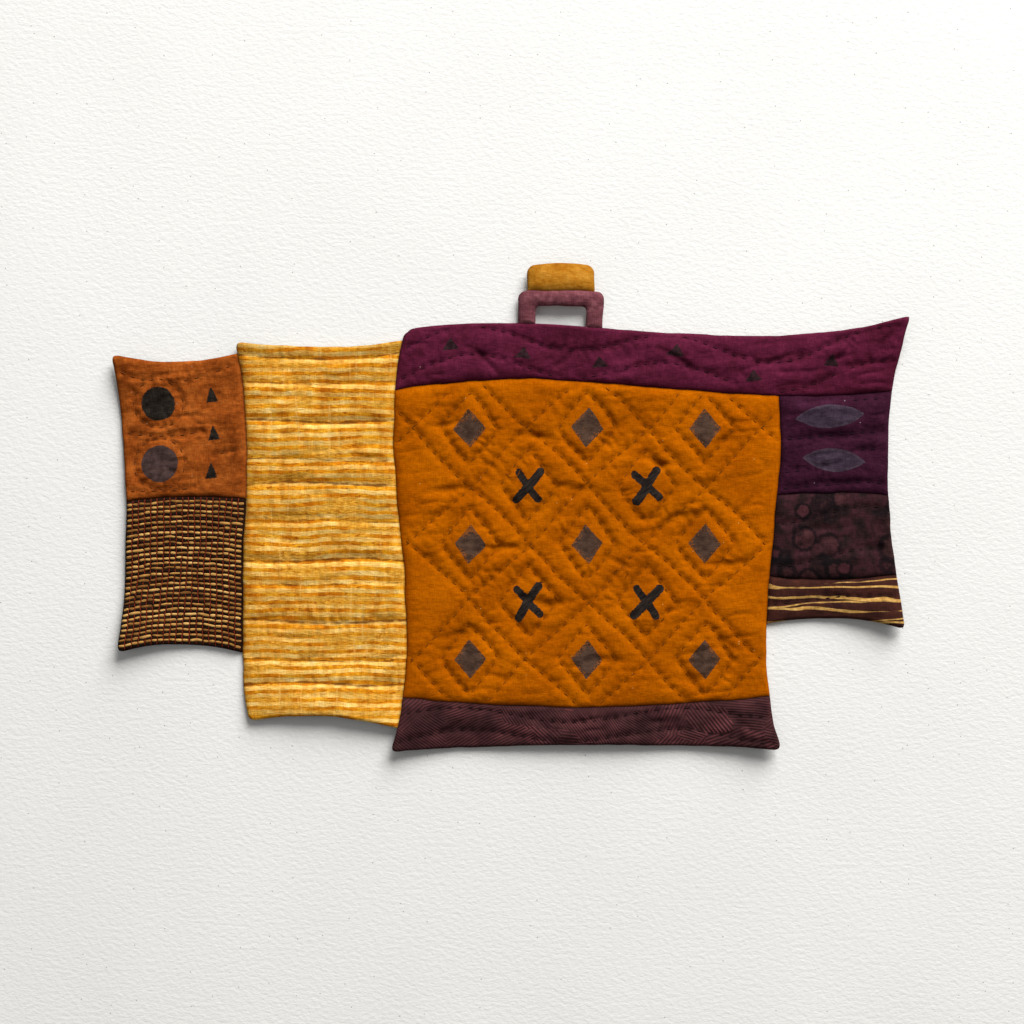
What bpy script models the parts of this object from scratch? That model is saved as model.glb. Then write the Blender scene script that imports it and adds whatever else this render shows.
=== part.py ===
"""An art quilt that hangs flat on a wall: free-form patchwork, quilted through its wadding.

Every piece of cloth, with its wadding and backing, is one closed solid. +Z is up, +X is to the right and -Y
faces the viewer. The middle of the back lies in the plane y = 0, and edges and corners stand forward of it.
The drawing below is in millimetres from the quilt's lowest left corner, and the origin is on the top edge,
above the middle of the width.
"""

import math
from collections import namedtuple

import bmesh
import bpy
import numpy as np
from mathutils import Vector
from numpy.polynomial import Polynomial

MM = 0.001
WIDTH = 420.0

# Thickness of the sandwich of cloth, wadding and backing, and how it meets seams and edges
THICK_EDGE = 1.5
THICK_FULL = 3.2
SWELL_REACH = 2.6
SEAM_GAP = 0.3
CORNER_RADIUS = 4.0

# Quilting, pressed into the front
ECHO_GAP = 5.0
ECHO_DEPTH = 1.2
CROSSED_DEPTH = 0.8
CROSSED_SWAY = 0.05
LINE_HALF_WIDTH = 2.2
TUCK_DEPTH = 1.1
TUCK_COUNT = 10
TUCK_FIRST = 32.6
TUCK_PITCH = 17.6
TUCK_STRAY = 3.0
TUCK_SWAY = 1.2
RIPPLE_DEPTH = 0.6
RIPPLE_LENGTH = 17.0
WEFT_ROWS = 29
WEFT_DEPTH = 0.5

# Painted shapes on the ochre cloth, in staggered rows of three and two, with quilting round each
SHAPE_HALF_WIDTH = 8.5
SHAPE_HALF_HEIGHT = 10.5
SHAPE_STEP_X = 62.0
SHAPE_STEP_Z = 30.5
SHAPES_MIDDLE = (250.0, 109.0)
SHAPE_ROWS = (3, 2, 3, 2, 3)

# The hanging tab: a loop that stands on the top edge, and a strip sewn to the loop's top
TAB_MIDDLE = 236.0
LOOP_WIDTH = 45.0
LOOP_HEIGHT = 17.5
LOOP_CORNER = 4.0
SLOT_WIDTH = 27.0
SLOT_HEIGHT = 9.5
SLOT_CORNER = 2.5
LOOP_LEG_STEPS = 4
LOOP_BEND_STEPS = 3
LOOP_BAR_STEPS = 8
LOOP_BAND_STEPS = 3
CAP_WIDTH = 35.0
CAP_HEIGHT = 13.0
CAP_RISE = 1.5
CAP_COLUMNS = 8
CAP_ROWS = 4

# Upright seams and sides: a smooth curve through a few points, as (height, x)
UPRIGHT = {
    "left side": [(52, 3), (130, 7), (208, 0)],
    "golden left": [(14, 72), (60, 68), (140, 70), (214, 65)],
    "ochre left": [(0, 146), (30, 153), (120, 151), (222, 154)],
    "ochre right": [(0, 352), (30, 346), (120, 349), (222, 346)],
    "right side": [(64, 417), (120, 410), (190, 411), (228, 420)],
}

# Level seams and edges: a smooth curve through a few points, as (x, height)
LEVEL = {
    "rust top": [(0, 209), (33, 205), (66, 209)],
    "rust foot": [(5, 131), (38, 134), (70, 133)],
    "nubby foot": [(3, 52), (36, 56), (70, 51)],
    "golden top": [(65, 215), (110, 213), (154, 216)],
    "golden foot": [(71, 15), (112, 18), (150, 12)],
    "magenta top": [(154, 222), (225, 225), (320, 219), (420, 229)],
    "magenta foot": [(154, 191), (240, 195), (330, 188), (420, 191)],
    "ochre foot": [(150, 28), (250, 23), (350, 29)],
    "burgundy foot": [(146, 0), (250, 3), (352, 1)],
    "purple foot": [(346, 134), (380, 136), (412, 134)],
    "batik foot": [(346, 92), (380, 90), (412, 93)],
    "streaked foot": [(346, 67), (382, 70), (417, 64)],
}

# Where edges and corners stand off the wall: the middle, reach each way and height of each lift
Lift = namedtuple("Lift", "x z reach_x reach_z height")
LIFTS = [
    Lift(0, 208, 40, 34, 3.5),
    Lift(4, 52, 46, 40, 4.5),
    Lift(3, 130, 16, 60, 1.5),
    Lift(110, 12, 54, 40, 4.0),
    Lift(66, 216, 30, 26, 2.5),
    Lift(146, 0, 34, 30, 2.5),
    Lift(250, 0, 80, 24, 1.8),
    Lift(352, 0, 60, 38, 4.6),
    Lift(416, 64, 46, 44, 4.4),
    Lift(412, 140, 20, 60, 2.0),
    Lift(420, 229, 50, 34, 5.0),
]


def curve_through(points):
    """The polynomial through these points."""
    along, across = zip(*points)
    return Polynomial.fit(along, across, len(points) - 1)


SEAMS = {name: curve_through(points) for name, points in {**UPRIGHT, **LEVEL}.items()}
ORIGIN_X = WIDTH / 2
ORIGIN_Z = SEAMS["magenta top"](ORIGIN_X)


def drape(x, z):
    """How far the back stands forward of the wall."""
    off = np.zeros_like(x)
    for lift in LIFTS:
        away = np.hypot((x - lift.x) / lift.reach_x, (z - lift.z) / lift.reach_z)
        near = np.clip(1 - away, 0, 1)
        off = off + lift.height * near * near * (3 - 2 * near)
    return off


def swell(distances):
    """How far the wadding has risen, from 0 at any of these seams or edges to 1 far from them all."""
    risen = 1
    for distance in distances:
        risen = risen * (1 - np.exp(-distance / SWELL_REACH))
    return risen


def pressed_line(distance, depth):
    """How far a quilting line presses the front in, this far from the line."""
    return depth * np.exp(-((distance / LINE_HALF_WIDTH) ** 2))


def shape_middles():
    """The middles of the painted shapes, row by row."""
    for row, count in enumerate(SHAPE_ROWS):
        for place in range(count):
            across = (place - (count - 1) / 2) * SHAPE_STEP_X
            up = (row - (len(SHAPE_ROWS) - 1) / 2) * SHAPE_STEP_Z
            yield SHAPES_MIDDLE[0] + across, SHAPES_MIDDLE[1] + up


def outside_shape(x, z, middle):
    """How far a point is outside the on-point square with this middle, or inside where it is negative."""
    half_width, half_height = SHAPE_HALF_WIDTH, SHAPE_HALF_HEIGHT
    share = abs(x - middle[0]) / half_width + abs(z - middle[1]) / half_height
    return (share - 1) * half_width * half_height / math.hypot(half_width, half_height)


def echo_relief(x, z, v):
    """A line quilted round each painted shape, and slanting lines that cross between the shapes."""
    lines = [pressed_line(outside_shape(x, z, middle) - ECHO_GAP, ECHO_DEPTH) for middle in shape_middles()]
    step_x, step_z = SHAPE_STEP_X / 2, SHAPE_STEP_Z
    across = (x - SHAPES_MIDDLE[0]) / step_x
    up = (z - SHAPES_MIDDLE[1]) / step_z
    for slope in (1, -1):
        steps = across + slope * up + CROSSED_SWAY * np.sin((x - slope * z) / 19)
        from_line = abs(steps % 2 - 1) * step_x * step_z / math.hypot(step_x, step_z)
        lines.append(pressed_line(from_line, CROSSED_DEPTH))
    return np.max(lines, axis=0)


def tuck_relief(x, z, v):
    """Uneven stitched tucks across the golden cloth, which leave a rolled ridge along its top."""
    lines = []
    for number in range(TUCK_COUNT):
        level = TUCK_FIRST + TUCK_PITCH * number + TUCK_STRAY * math.sin(2.1 * (number + 1))
        wavy = level + TUCK_SWAY * np.sin(x / 14 + number + 1)
        lines.append(pressed_line(z - wavy, TUCK_DEPTH))
    return np.max(lines, axis=0)


def ripple_relief(ripples, sway):
    """Level quilted ripples: how many, and how far each sways up and down."""

    def relief(x, z, v):
        turns = ripples * v + sway * np.sin(x / RIPPLE_LENGTH)
        return RIPPLE_DEPTH * (0.5 - 0.5 * np.cos(2 * math.pi * turns))

    return relief


def weft_relief(x, z, v):
    """The raised weft rows of the nubby cloth."""
    return WEFT_DEPTH * (0.5 - 0.5 * np.cos(2 * math.pi * WEFT_ROWS * v))


# One row for each piece between four seams. Free corners are rounded. Columns and rows are the steps of its
# surface, and relief is what its quilting presses in.
Panel = namedtuple("Panel", "left right foot top free_corners columns rows relief colour roughness")
PANELS = {
    "rust_block": Panel(
        "left side", "golden left", "rust foot", "rust top", ["left top"],
        11, 20, ripple_relief(5, 0.25), (0.284, 0.064, 0.010), 0.92,
    ),
    "nubby_block": Panel(
        "left side", "golden left", "nubby foot", "rust foot", ["left foot"],
        8, 2 * WEFT_ROWS, weft_relief, (0.130, 0.060, 0.022), 0.95,
    ),
    "golden_panel": Panel(
        "golden left", "ochre left", "golden foot", "golden top", ["left foot", "left top"],
        9, 64, tuck_relief, (0.669, 0.300, 0.050), 0.88,
    ),
    "ochre_field": Panel(
        "ochre left", "ochre right", "ochre foot", "magenta foot", [],
        62, 54, echo_relief, (0.330, 0.078, 0.003), 0.90,
    ),
    "burgundy_band": Panel(
        "ochre left", "ochre right", "burgundy foot", "ochre foot", ["left foot", "right foot"],
        28, 8, ripple_relief(2, 0.3), (0.040, 0.012, 0.010), 0.85,
    ),
    "magenta_band": Panel(
        "ochre left", "right side", "magenta foot", "magenta top", ["left top", "right top"],
        42, 8, ripple_relief(2, 0.4), (0.090, 0.012, 0.030), 0.88,
    ),
    "purple_block": Panel(
        "ochre right", "right side", "purple foot", "magenta foot", [],
        9, 18, ripple_relief(6, 0.15), (0.036, 0.012, 0.027), 0.85,
    ),
    "batik_block": Panel(
        "ochre right", "right side", "batik foot", "purple foot", [],
        9, 9, ripple_relief(2, 0.2), (0.026, 0.012, 0.014), 0.90,
    ),
    "streaked_strip": Panel(
        "ochre right", "right side", "streaked foot", "batik foot", ["right foot"],
        9, 5, ripple_relief(1, 0.1), (0.070, 0.024, 0.014), 0.90,
    ),
}


def crossing(upright, level):
    """Where an upright curve and a level one meet."""
    x = ORIGIN_X
    for _ in range(30):
        z = level(x)
        x = upright(z)
    return np.array([x, z])


def inset(seam, by):
    return lambda along: SEAMS[seam](along) + by


def patch(panel, u, v):
    """Places over the piece between four seams, and how far each is from the sides, foot and top."""
    half_gap = SEAM_GAP / 2
    left, right = inset(panel.left, half_gap), inset(panel.right, -half_gap)
    foot, top = inset(panel.foot, half_gap), inset(panel.top, -half_gap)
    foot_left, foot_right = crossing(left, foot), crossing(right, foot)
    top_left, top_right = crossing(left, top), crossing(right, top)

    foot_x = foot_left[0] + (foot_right[0] - foot_left[0]) * u
    top_x = top_left[0] + (top_right[0] - top_left[0]) * u
    left_z = foot_left[1] + (top_left[1] - foot_left[1]) * v
    right_z = foot_right[1] + (top_right[1] - foot_right[1]) * v

    def blended(on_foot, on_top, on_left, on_right, axis):
        low = (1 - u) * foot_left[axis] + u * foot_right[axis]
        high = (1 - u) * top_left[axis] + u * top_right[axis]
        corners = (1 - v) * low + v * high
        return (1 - v) * on_foot + v * on_top + (1 - u) * on_left + u * on_right - corners

    x = blended(foot_x, top_x, left(left_z), right(right_z), 0)
    z = blended(foot(foot_x), top(top_x), left_z, right_z, 1)
    width = (1 - v) * (foot_right[0] - foot_left[0]) + v * (top_right[0] - top_left[0])
    height = (1 - u) * (top_left[1] - foot_left[1]) + u * (top_right[1] - foot_right[1])
    sides = {"left": u * width, "right": (1 - u) * width, "foot": v * height, "top": (1 - v) * height}
    return x, z, sides


def rounded(x, z, sides, free_corners):
    """The same places, drawn in round the free corners."""
    for corner in free_corners:
        side, end = corner.split()
        across = np.clip(1 - sides[side] / CORNER_RADIUS, 0, 1)
        along = np.clip(1 - sides[end] / CORNER_RADIUS, 0, 1)
        drawn_in = CORNER_RADIUS * (1 - np.maximum(across, along) / np.maximum(np.hypot(across, along), 1e-9))
        x = x + across * drawn_in * (1 if side == "left" else -1)
        z = z + along * drawn_in * (1 if end == "foot" else -1)
    return x, z


def panel_surface(panel):
    """Places and thickness over a piece between four seams."""

    def at(u, v):
        x, z, sides = patch(panel, u, v)
        full = THICK_FULL - THICK_EDGE - panel.relief(x, z, v)
        thick = THICK_EDGE + full * swell(sides.values())
        return *rounded(x, z, sides, panel.free_corners), thick

    return at


def arch(width, height, corner):
    """Points up the left side of a round-cornered arch on the top edge, over it and down its right side."""
    half = width / 2
    flat = half - corner
    top_edge = SEAMS["magenta top"]
    top = top_edge(TAB_MIDDLE) + height
    spring = top - corner

    def leg(side):
        foot = top_edge(TAB_MIDDLE + side * half) + SEAM_GAP
        return [(side * half, foot + (spring - foot) * i / LOOP_LEG_STEPS) for i in range(LOOP_LEG_STEPS)]

    def bend(side):
        angles = [math.pi / 2 * i / LOOP_BEND_STEPS for i in range(LOOP_BEND_STEPS)]
        return [(side * (flat + corner * math.cos(a)), spring + corner * math.sin(a)) for a in angles]

    bar = [(flat * (2 * i / LOOP_BAR_STEPS - 1), top) for i in range(LOOP_BAR_STEPS + 1)]
    points = leg(-1) + bend(-1) + bar + bend(1)[::-1] + leg(1)[::-1]
    return np.array(points) + (TAB_MIDDLE, 0)


def loop_surface(u, v):
    """Places and thickness over the loop: u runs up, over and down, and v from its slot outwards."""
    inner = arch(SLOT_WIDTH, SLOT_HEIGHT, SLOT_CORNER)
    outer = arch(LOOP_WIDTH, LOOP_HEIGHT, LOOP_CORNER)
    along = np.rint(u * (len(inner) - 1)).astype(int)
    x, z = (inner[along] + (outer - inner)[along] * v[:, None]).T
    band = (LOOP_WIDTH - SLOT_WIDTH) / 2
    return x, z, THICK_EDGE + (THICK_FULL - THICK_EDGE) * swell([v * band, (1 - v) * band])


def cap_surface(u, v):
    """Places and thickness over the strip on the loop."""
    foot = SEAMS["magenta top"](TAB_MIDDLE) + LOOP_HEIGHT + SEAM_GAP
    x = TAB_MIDDLE + CAP_WIDTH * (u - 0.5)
    z = foot + v * (CAP_HEIGHT + CAP_RISE * (1 - (2 * u - 1) ** 2))
    sides = {
        "left": CAP_WIDTH * u,
        "right": CAP_WIDTH * (1 - u),
        "foot": CAP_HEIGHT * v,
        "top": CAP_HEIGHT * (1 - v),
    }
    thick = THICK_EDGE + (THICK_FULL - THICK_EDGE) * swell(sides.values())
    return *rounded(x, z, sides, ["left top", "right top"]), thick


def cloth(name, colour, roughness):
    """A matt cloth."""
    material = bpy.data.materials.new(name)
    material.use_nodes = True
    shader = material.node_tree.nodes["Principled BSDF"]
    shader.inputs["Base Color"].default_value = (*colour, 1)
    shader.inputs["Roughness"].default_value = roughness
    shader.inputs["Metallic"].default_value = 0
    return material


def quilted(name, columns, rows, surface, material, collection):
    """One closed solid: a grid for the back and a grid for the front, joined round the rim."""
    shape = bmesh.new()
    bmesh.ops.create_grid(shape, x_segments=columns, y_segments=rows, size=0.5)
    raised = bmesh.ops.extrude_face_region(shape, geom=shape.faces[:], use_keep_orig=True)
    for item in raised["geom"]:
        if isinstance(item, bmesh.types.BMVert):
            item.co.z = 1
    grid = np.array([vert.co for vert in shape.verts], float)
    x, z, thick = surface(grid[:, 0] + 0.5, grid[:, 1] + 0.5)
    forward = drape(x, z) + grid[:, 2] * thick
    places = np.column_stack([x - ORIGIN_X, -forward, z - ORIGIN_Z]) * MM
    for vert, place in zip(shape.verts, places):
        vert.co = Vector(place)
    bmesh.ops.recalc_face_normals(shape, faces=shape.faces[:])
    mesh = bpy.data.meshes.new(name)
    shape.to_mesh(mesh)
    shape.free()
    mesh.materials.append(material)
    mesh.shade_smooth()
    mesh.set_sharp_from_angle(angle=math.radians(60))
    collection.objects.link(bpy.data.objects.new(name, mesh))


def main():
    for obj in list(bpy.data.objects):
        bpy.data.objects.remove(obj)
    collection = bpy.data.collections.new("art_quilt")
    bpy.context.scene.collection.children.link(collection)

    for name, panel in PANELS.items():
        material = cloth(name, panel.colour, panel.roughness)
        quilted(name, panel.columns, panel.rows, panel_surface(panel), material, collection)

    violet = cloth("tab_loop", (0.160, 0.048, 0.062), 0.90)
    loop_columns = 2 * LOOP_LEG_STEPS + 2 * LOOP_BEND_STEPS + LOOP_BAR_STEPS
    quilted("tab_loop", loop_columns, LOOP_BAND_STEPS, loop_surface, violet, collection)
    light_ochre = cloth("tab_cap", (0.514, 0.211, 0.030), 0.90)
    quilted("tab_cap", CAP_COLUMNS, CAP_ROWS, cap_surface, light_ochre, collection)


main()
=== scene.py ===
"""The art quilt as it looks: every cloth as its own quilted, puckered piece, on a pale wall.

The drawing is in millimetres from the quilt's lowest left corner, as in the part's source, and its seams,
edges and quilting lines are the same. The foot edges and the tab stand slightly further off the wall than the
solids do, and the tucks are softer. Pieces that are sewn together meet at their seams here.
"""

import math
from collections import namedtuple

import bpy
import numpy as np
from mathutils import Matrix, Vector
from mathutils.bvhtree import BVHTree
from numpy.polynomial import Polynomial


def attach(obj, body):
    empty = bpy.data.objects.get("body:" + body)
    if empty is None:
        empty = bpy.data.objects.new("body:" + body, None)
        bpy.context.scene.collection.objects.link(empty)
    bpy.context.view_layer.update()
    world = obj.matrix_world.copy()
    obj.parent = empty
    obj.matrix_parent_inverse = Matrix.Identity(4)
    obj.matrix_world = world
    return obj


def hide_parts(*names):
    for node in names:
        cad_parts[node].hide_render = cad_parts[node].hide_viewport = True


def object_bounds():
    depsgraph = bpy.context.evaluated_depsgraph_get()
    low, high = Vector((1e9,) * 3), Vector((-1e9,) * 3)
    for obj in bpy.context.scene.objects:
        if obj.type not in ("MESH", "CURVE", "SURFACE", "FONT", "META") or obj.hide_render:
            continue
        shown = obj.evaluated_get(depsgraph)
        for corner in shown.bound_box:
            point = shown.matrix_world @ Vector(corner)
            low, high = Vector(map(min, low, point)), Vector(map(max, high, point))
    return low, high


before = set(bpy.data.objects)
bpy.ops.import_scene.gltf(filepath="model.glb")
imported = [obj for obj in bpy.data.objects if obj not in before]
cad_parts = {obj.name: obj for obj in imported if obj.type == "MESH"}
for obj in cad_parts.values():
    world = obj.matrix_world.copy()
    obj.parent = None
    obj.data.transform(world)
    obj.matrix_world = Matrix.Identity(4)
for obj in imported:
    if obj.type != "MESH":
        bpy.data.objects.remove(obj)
CAD_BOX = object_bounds()

MM = 0.001
WIDTH = 420.0

# The sandwich of cloth, wadding and backing
LEAST_THICK = 0.25
THICK_EDGE = 1.5
THICK_FULL = 3.2
SWELL_REACH = 2.6
SEAM_LAP = 0.06
CORNER_RADIUS = 4.0
FREE_EDGE_ROUND = 0.95
SEAM_DITCH = 0.55
STEP = 0.72

# Quilting
ECHO_GAP = 5.0
ECHO_DEPTH = 1.2
CROSSED_DEPTH = 0.8
CROSSED_SWAY = 0.05
LINE_HALF_WIDTH = 2.2
TUCK_DEPTH = 1.35
TUCK_COUNT = 10
TUCK_FIRST = 32.6
TUCK_PITCH = 17.6
TUCK_STRAY = 3.0
TUCK_SWAY = 0.8
WEAK_TUCK = 0.62
HEM_RIDGE = 6.5
RIPPLE_DEPTH = 0.8
RIPPLE_LENGTH = 17.0
WEFT_ROWS = 29
WARP_PITCH = 3.3
STITCH_PITCH = 5.5
STITCH_LENGTH = 2.8
STITCH_RADIUS = 0.21
POINT_GAP = 0.5
PUCKER_REACH = 15.0
SHAPE_CLEARANCE = 3.2
SHORTEST_RUN = 22
STRIPE_PITCH = 4.3
FIRST_STITCH = 0.4 * STITCH_PITCH

# Painted shapes on the ochre cloth
SHAPE_HALF_WIDTH = 8.5
SHAPE_HALF_HEIGHT = 10.5
RING_POWER = 1.84
SHAPE_STEP_X = 62.0
SHAPE_STEP_Z = 30.5
SHAPES_MIDDLE = (250.0, 109.0)
SHAPE_ROWS = (3, 2, 3, 2, 3)

# The hanging tab
TAB_MIDDLE = 236.0
TAB_LAP = 0.9
LOOP_WIDTH = 45.0
LOOP_HEIGHT = 17.5
LOOP_CORNER = 4.0
SLOT_WIDTH = 27.0
SLOT_HEIGHT = 9.5
SLOT_CORNER = 2.5
CAP_WIDTH = 35.0
CAP_HEIGHT = 13.0
CAP_RISE = 1.5

UPRIGHT = {
    "left side": [(52, 3), (130, 7), (208, 0)],
    "golden left": [(14, 72), (60, 68), (140, 70), (214, 65)],
    "ochre left": [(0, 146), (30, 153), (120, 151), (222, 154)],
    "ochre right": [(0, 352), (30, 346), (120, 349), (222, 346)],
    "right side": [(64, 417), (120, 410), (190, 411), (228, 420)],
}
LEVEL = {
    "rust top": [(0, 209), (33, 205), (66, 209)],
    "rust foot": [(5, 131), (38, 134), (70, 133)],
    "nubby foot": [(3, 52), (36, 56), (70, 51)],
    "golden top": [(65, 215), (110, 213), (154, 216)],
    "golden foot": [(71, 15), (112, 18), (150, 12)],
    "magenta top": [(154, 222), (225, 225), (320, 219), (420, 229)],
    "magenta foot": [(154, 191), (240, 195), (330, 188), (420, 191)],
    "ochre foot": [(150, 28), (250, 23), (350, 29)],
    "burgundy foot": [(146, 0), (250, 3), (352, 1)],
    "purple foot": [(346, 134), (380, 136), (412, 134)],
    "batik foot": [(346, 92), (380, 90), (412, 93)],
    "streaked foot": [(346, 67), (382, 70), (417, 64)],
}

Lift = namedtuple("Lift", "x z reach_x reach_z height")
LIFTS = [Lift(*row) for row in (
    (0, 208, 40, 34, 3.5),
    (4, 52, 46, 40, 4.5),
    (3, 130, 16, 60, 1.5),
    (110, 12, 60, 40, 4.6),
    (66, 216, 30, 26, 2.5),
    (146, 0, 44, 32, 3.2),
    (250, 0, 84, 26, 2.4),
    (352, 0, 60, 38, 4.6),
    (416, 64, 46, 44, 4.4),
    (412, 140, 20, 60, 2.0),
    (420, 229, 50, 34, 5.0),
    (236, 244, 44, 34, 5.0),
)]

# The main creases: the middle, length, lean in degrees, half width, height and bow of each.
# A negative height is a trough.
Crease = namedtuple("Crease", "x z length lean half_width height bow", defaults=(2.2,))
CREASES = [Crease(*row) for row in (
    # Ochre cloth
    (176, 172, 30, 10, 2.0, -0.95, -1.6),
    (224, 166, 42, -6, 2.2, -1.45, 3.2),
    (222, 174, 36, -4, 3.8, 0.65, 2.8),
    (286, 152, 32, -16, 2.0, -1.40, -3.0),
    (292, 160, 34, -14, 3.8, 0.60, -3.0),
    (322, 164, 24, 12, 1.9, -0.70, 2.8),
    (178, 138, 34, 6, 2.2, -1.40, 2.6),
    (178, 129, 32, 4, 3.6, 0.65, 2.6),
    (240, 138, 34, -10, 2.1, -1.05, -2.6),
    (300, 124, 32, 14, 2.1, -1.45, 3.6),
    (334, 130, 26, 46, 2.0, -0.80, -2.0),
    (206, 108, 38, 4, 2.1, -1.45, 3.4),
    (208, 100, 36, 2, 3.9, 0.70, 3.4),
    (166, 102, 22, -18, 1.9, -0.75, 1.4),
    (266, 100, 28, -20, 1.9, -0.80, -2.2),
    (326, 98, 34, 8, 2.2, -1.35, -3.2),
    (228, 78, 44, -4, 2.3, -1.55, -3.6),
    (226, 70, 40, -2, 4.1, 0.75, -3.6),
    (294, 74, 26, 22, 1.9, -0.80, 2.0),
    (182, 62, 28, 12, 2.1, -1.00, 2.4),
    (326, 56, 24, -26, 1.9, -0.80, -2.0),
    (258, 48, 40, 4, 2.2, -1.35, 3.2),
    (206, 38, 28, -8, 2.2, -0.70, -1.8),
    (304, 38, 30, 6, 2.1, -0.75, -2.2),
    # Golden cloth
    (92, 186, 40, 3, 1.6, -0.50),
    (128, 156, 36, -4, 1.5, -0.45),
    (96, 124, 44, 2, 1.5, -0.50),
    (124, 92, 40, 5, 1.6, -0.45),
    (92, 60, 38, -3, 1.6, -0.50),
    (130, 34, 32, 4, 1.7, 0.45),
    # Rust cloth
    (40, 168, 44, 4, 1.9, -0.85),
    (46, 152, 36, -8, 2.6, 0.50),
    (20, 198, 32, 6, 1.9, -0.70, -1.4),
    (44, 177, 30, -8, 1.8, -0.70, 2.0),
    # Nubby cloth
    (30, 112, 50, 6, 4.0, 0.70),
    (44, 88, 44, -10, 4.2, -0.60),
    (20, 68, 34, 14, 3.8, 0.60),
    # Magenta cloth
    (196, 206, 34, -40, 1.6, -1.25),
    (238, 206, 26, 34, 1.5, -1.10, -1.6),
    (298, 206, 34, -32, 1.6, -1.20),
    (352, 207, 36, 18, 1.7, -1.20),
    (384, 209, 30, 44, 1.6, -1.15, -1.8),
    (406, 214, 32, 52, 1.7, -1.25),
    # Burgundy cloth
    (180, 14, 30, 26, 1.9, -0.85),
    (228, 13, 26, -34, 1.9, -0.75),
    (284, 15, 32, 14, 1.9, -0.90),
    (332, 14, 28, -30, 2.0, -0.80),
    # Right column
    (376, 185, 40, 2, 1.8, -0.75),
    (384, 165, 44, -3, 1.8, -0.80, -1.2),
    (376, 142, 42, 3, 1.8, -0.80, 1.2),
    (372, 118, 36, 12, 2.0, -0.80),
    (392, 102, 34, -14, 2.6, 0.50),
    (384, 80, 44, -8, 2.6, -0.50),
)]


def curve_through(points):
    """The polynomial through these points."""
    along, across = zip(*points)
    return Polynomial.fit(along, across, len(points) - 1)


SEAMS = {name: curve_through(points) for name, points in {**UPRIGHT, **LEVEL}.items()}
ORIGIN_X = WIDTH / 2
ORIGIN_Z = SEAMS["magenta top"](ORIGIN_X)


def leaning(x, z, middle, lean):
    """How far places are from a middle, along and across a line that leans by these degrees."""
    cos, sin = math.cos(math.radians(lean)), math.sin(math.radians(lean))
    dx, dz = x - middle[0], z - middle[1]
    return dx * cos + dz * sin, dz * cos - dx * sin


class Noise:
    """Smooth seeded noise over the drawing, from -1 to 1, in features so many millimetres long and tall."""

    def __init__(self, seed, long, tall, lean=0.0):
        self.table = np.random.default_rng(seed).uniform(-1, 1, (64, 64))
        self.long, self.tall, self.lean = long, tall, lean

    def __call__(self, x, z):
        across, up = leaning(x, z, (0, 0), self.lean)
        across, up = across / self.long, up / self.tall
        column, row = np.floor(across).astype(int), np.floor(up).astype(int)
        s, t = across - column, up - row
        s, t = s * s * s * (6 * s * s - 15 * s + 10), t * t * t * (6 * t * t - 15 * t + 10)

        def at(i, j):
            return self.table[(column + i) % 64, (row + j) % 64]

        low = at(0, 0) * (1 - s) + at(1, 0) * s
        high = at(0, 1) * (1 - s) + at(1, 1) * s
        return low * (1 - t) + high * t


WANDER_X = Noise(11, 16, 16)
WANDER_Z = Noise(12, 22, 14)
SCALLOP = Noise(20, 6.5, 6.5)
BILLOW = Noise(13, 26, 15, 6)
SOFT_PUCKER = Noise(14, 14, 5.6, 7)
CROSS_PUCKER = Noise(15, 6.2, 11, -12)
SMALL_PUCKER = Noise(16, 4.6, 2.2, 3)
SLUB = Noise(17, 5.0, 1.3)
PUCKER_DRIFT = Noise(18, 7, 7)
PUCKER_STRENGTH = Noise(19, 13, 11)


def wandered(x, z):
    """The same places, moved a little in the plane of the cloth: edges and seams aren't perfectly even."""
    across = 0.55 * WANDER_X(x, z) + 0.22 * SCALLOP(x, z)
    up = 0.45 * WANDER_Z(x, z) + 0.22 * SCALLOP(z, x)
    return x + across, z + up


def drape(x, z):
    """How far the back stands forward of the wall."""
    off = np.zeros_like(x)
    for lift in LIFTS:
        away = np.hypot((x - lift.x) / lift.reach_x, (z - lift.z) / lift.reach_z)
        near = np.clip(1 - away, 0, 1)
        off = off + lift.height * near * near * (3 - 2 * near)
    return off


def swell(distances):
    """How far the wadding has risen, from 0 at any of these seams or edges to 1 far from them all."""
    risen = 1
    for distance in distances:
        risen = risen * (1 - np.exp(-distance / SWELL_REACH))
    return risen


def smooth_step(low, high, value):
    share = np.clip((value - low) / (high - low), 0, 1)
    return share * share * (3 - 2 * share)


def creased(x, z):
    """The height that the hand-placed creases add."""
    height = np.zeros_like(x)
    for crease in CREASES:
        along, across = leaning(x, z, (crease.x, crease.z), crease.lean)
        along = along / (crease.length / 2)
        across = across + crease.bow * along * along + 0.9 * PUCKER_DRIFT(x, z)
        window = np.where(abs(along) < 1, np.cos(along * math.pi / 2) ** 2, 0)
        height = height + crease.height * window * np.exp(-((across / crease.half_width) ** 2))
    return height


# Painted and sewn-on shapes: every function gives how far a place is outside the shape, in millimetres


def shape_middles():
    """The middles of the painted shapes, row by row, each with its row."""
    for row, count in enumerate(SHAPE_ROWS):
        for place in range(count):
            across = (place - (count - 1) / 2) * SHAPE_STEP_X
            up = (row - (len(SHAPE_ROWS) - 1) / 2) * SHAPE_STEP_Z
            yield row, place, SHAPES_MIDDLE[0] + across, SHAPES_MIDDLE[1] + up


def outside_square(x, z, middle, half_width, half_height, lean):
    """An on-point square."""
    across, up = leaning(x, z, middle, lean)
    share = abs(across) / half_width + abs(up) / half_height
    return (share - 1) * half_width * half_height / math.hypot(half_width, half_height)


def outside_stroke(x, z, start, end, radius):
    """A round-ended brush stroke."""
    dx, dz = end[0] - start[0], end[1] - start[1]
    along = np.clip(((x - start[0]) * dx + (z - start[1]) * dz) / (dx * dx + dz * dz), 0, 1)
    return np.hypot(x - start[0] - along * dx, z - start[1] - along * dz) - radius


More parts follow.
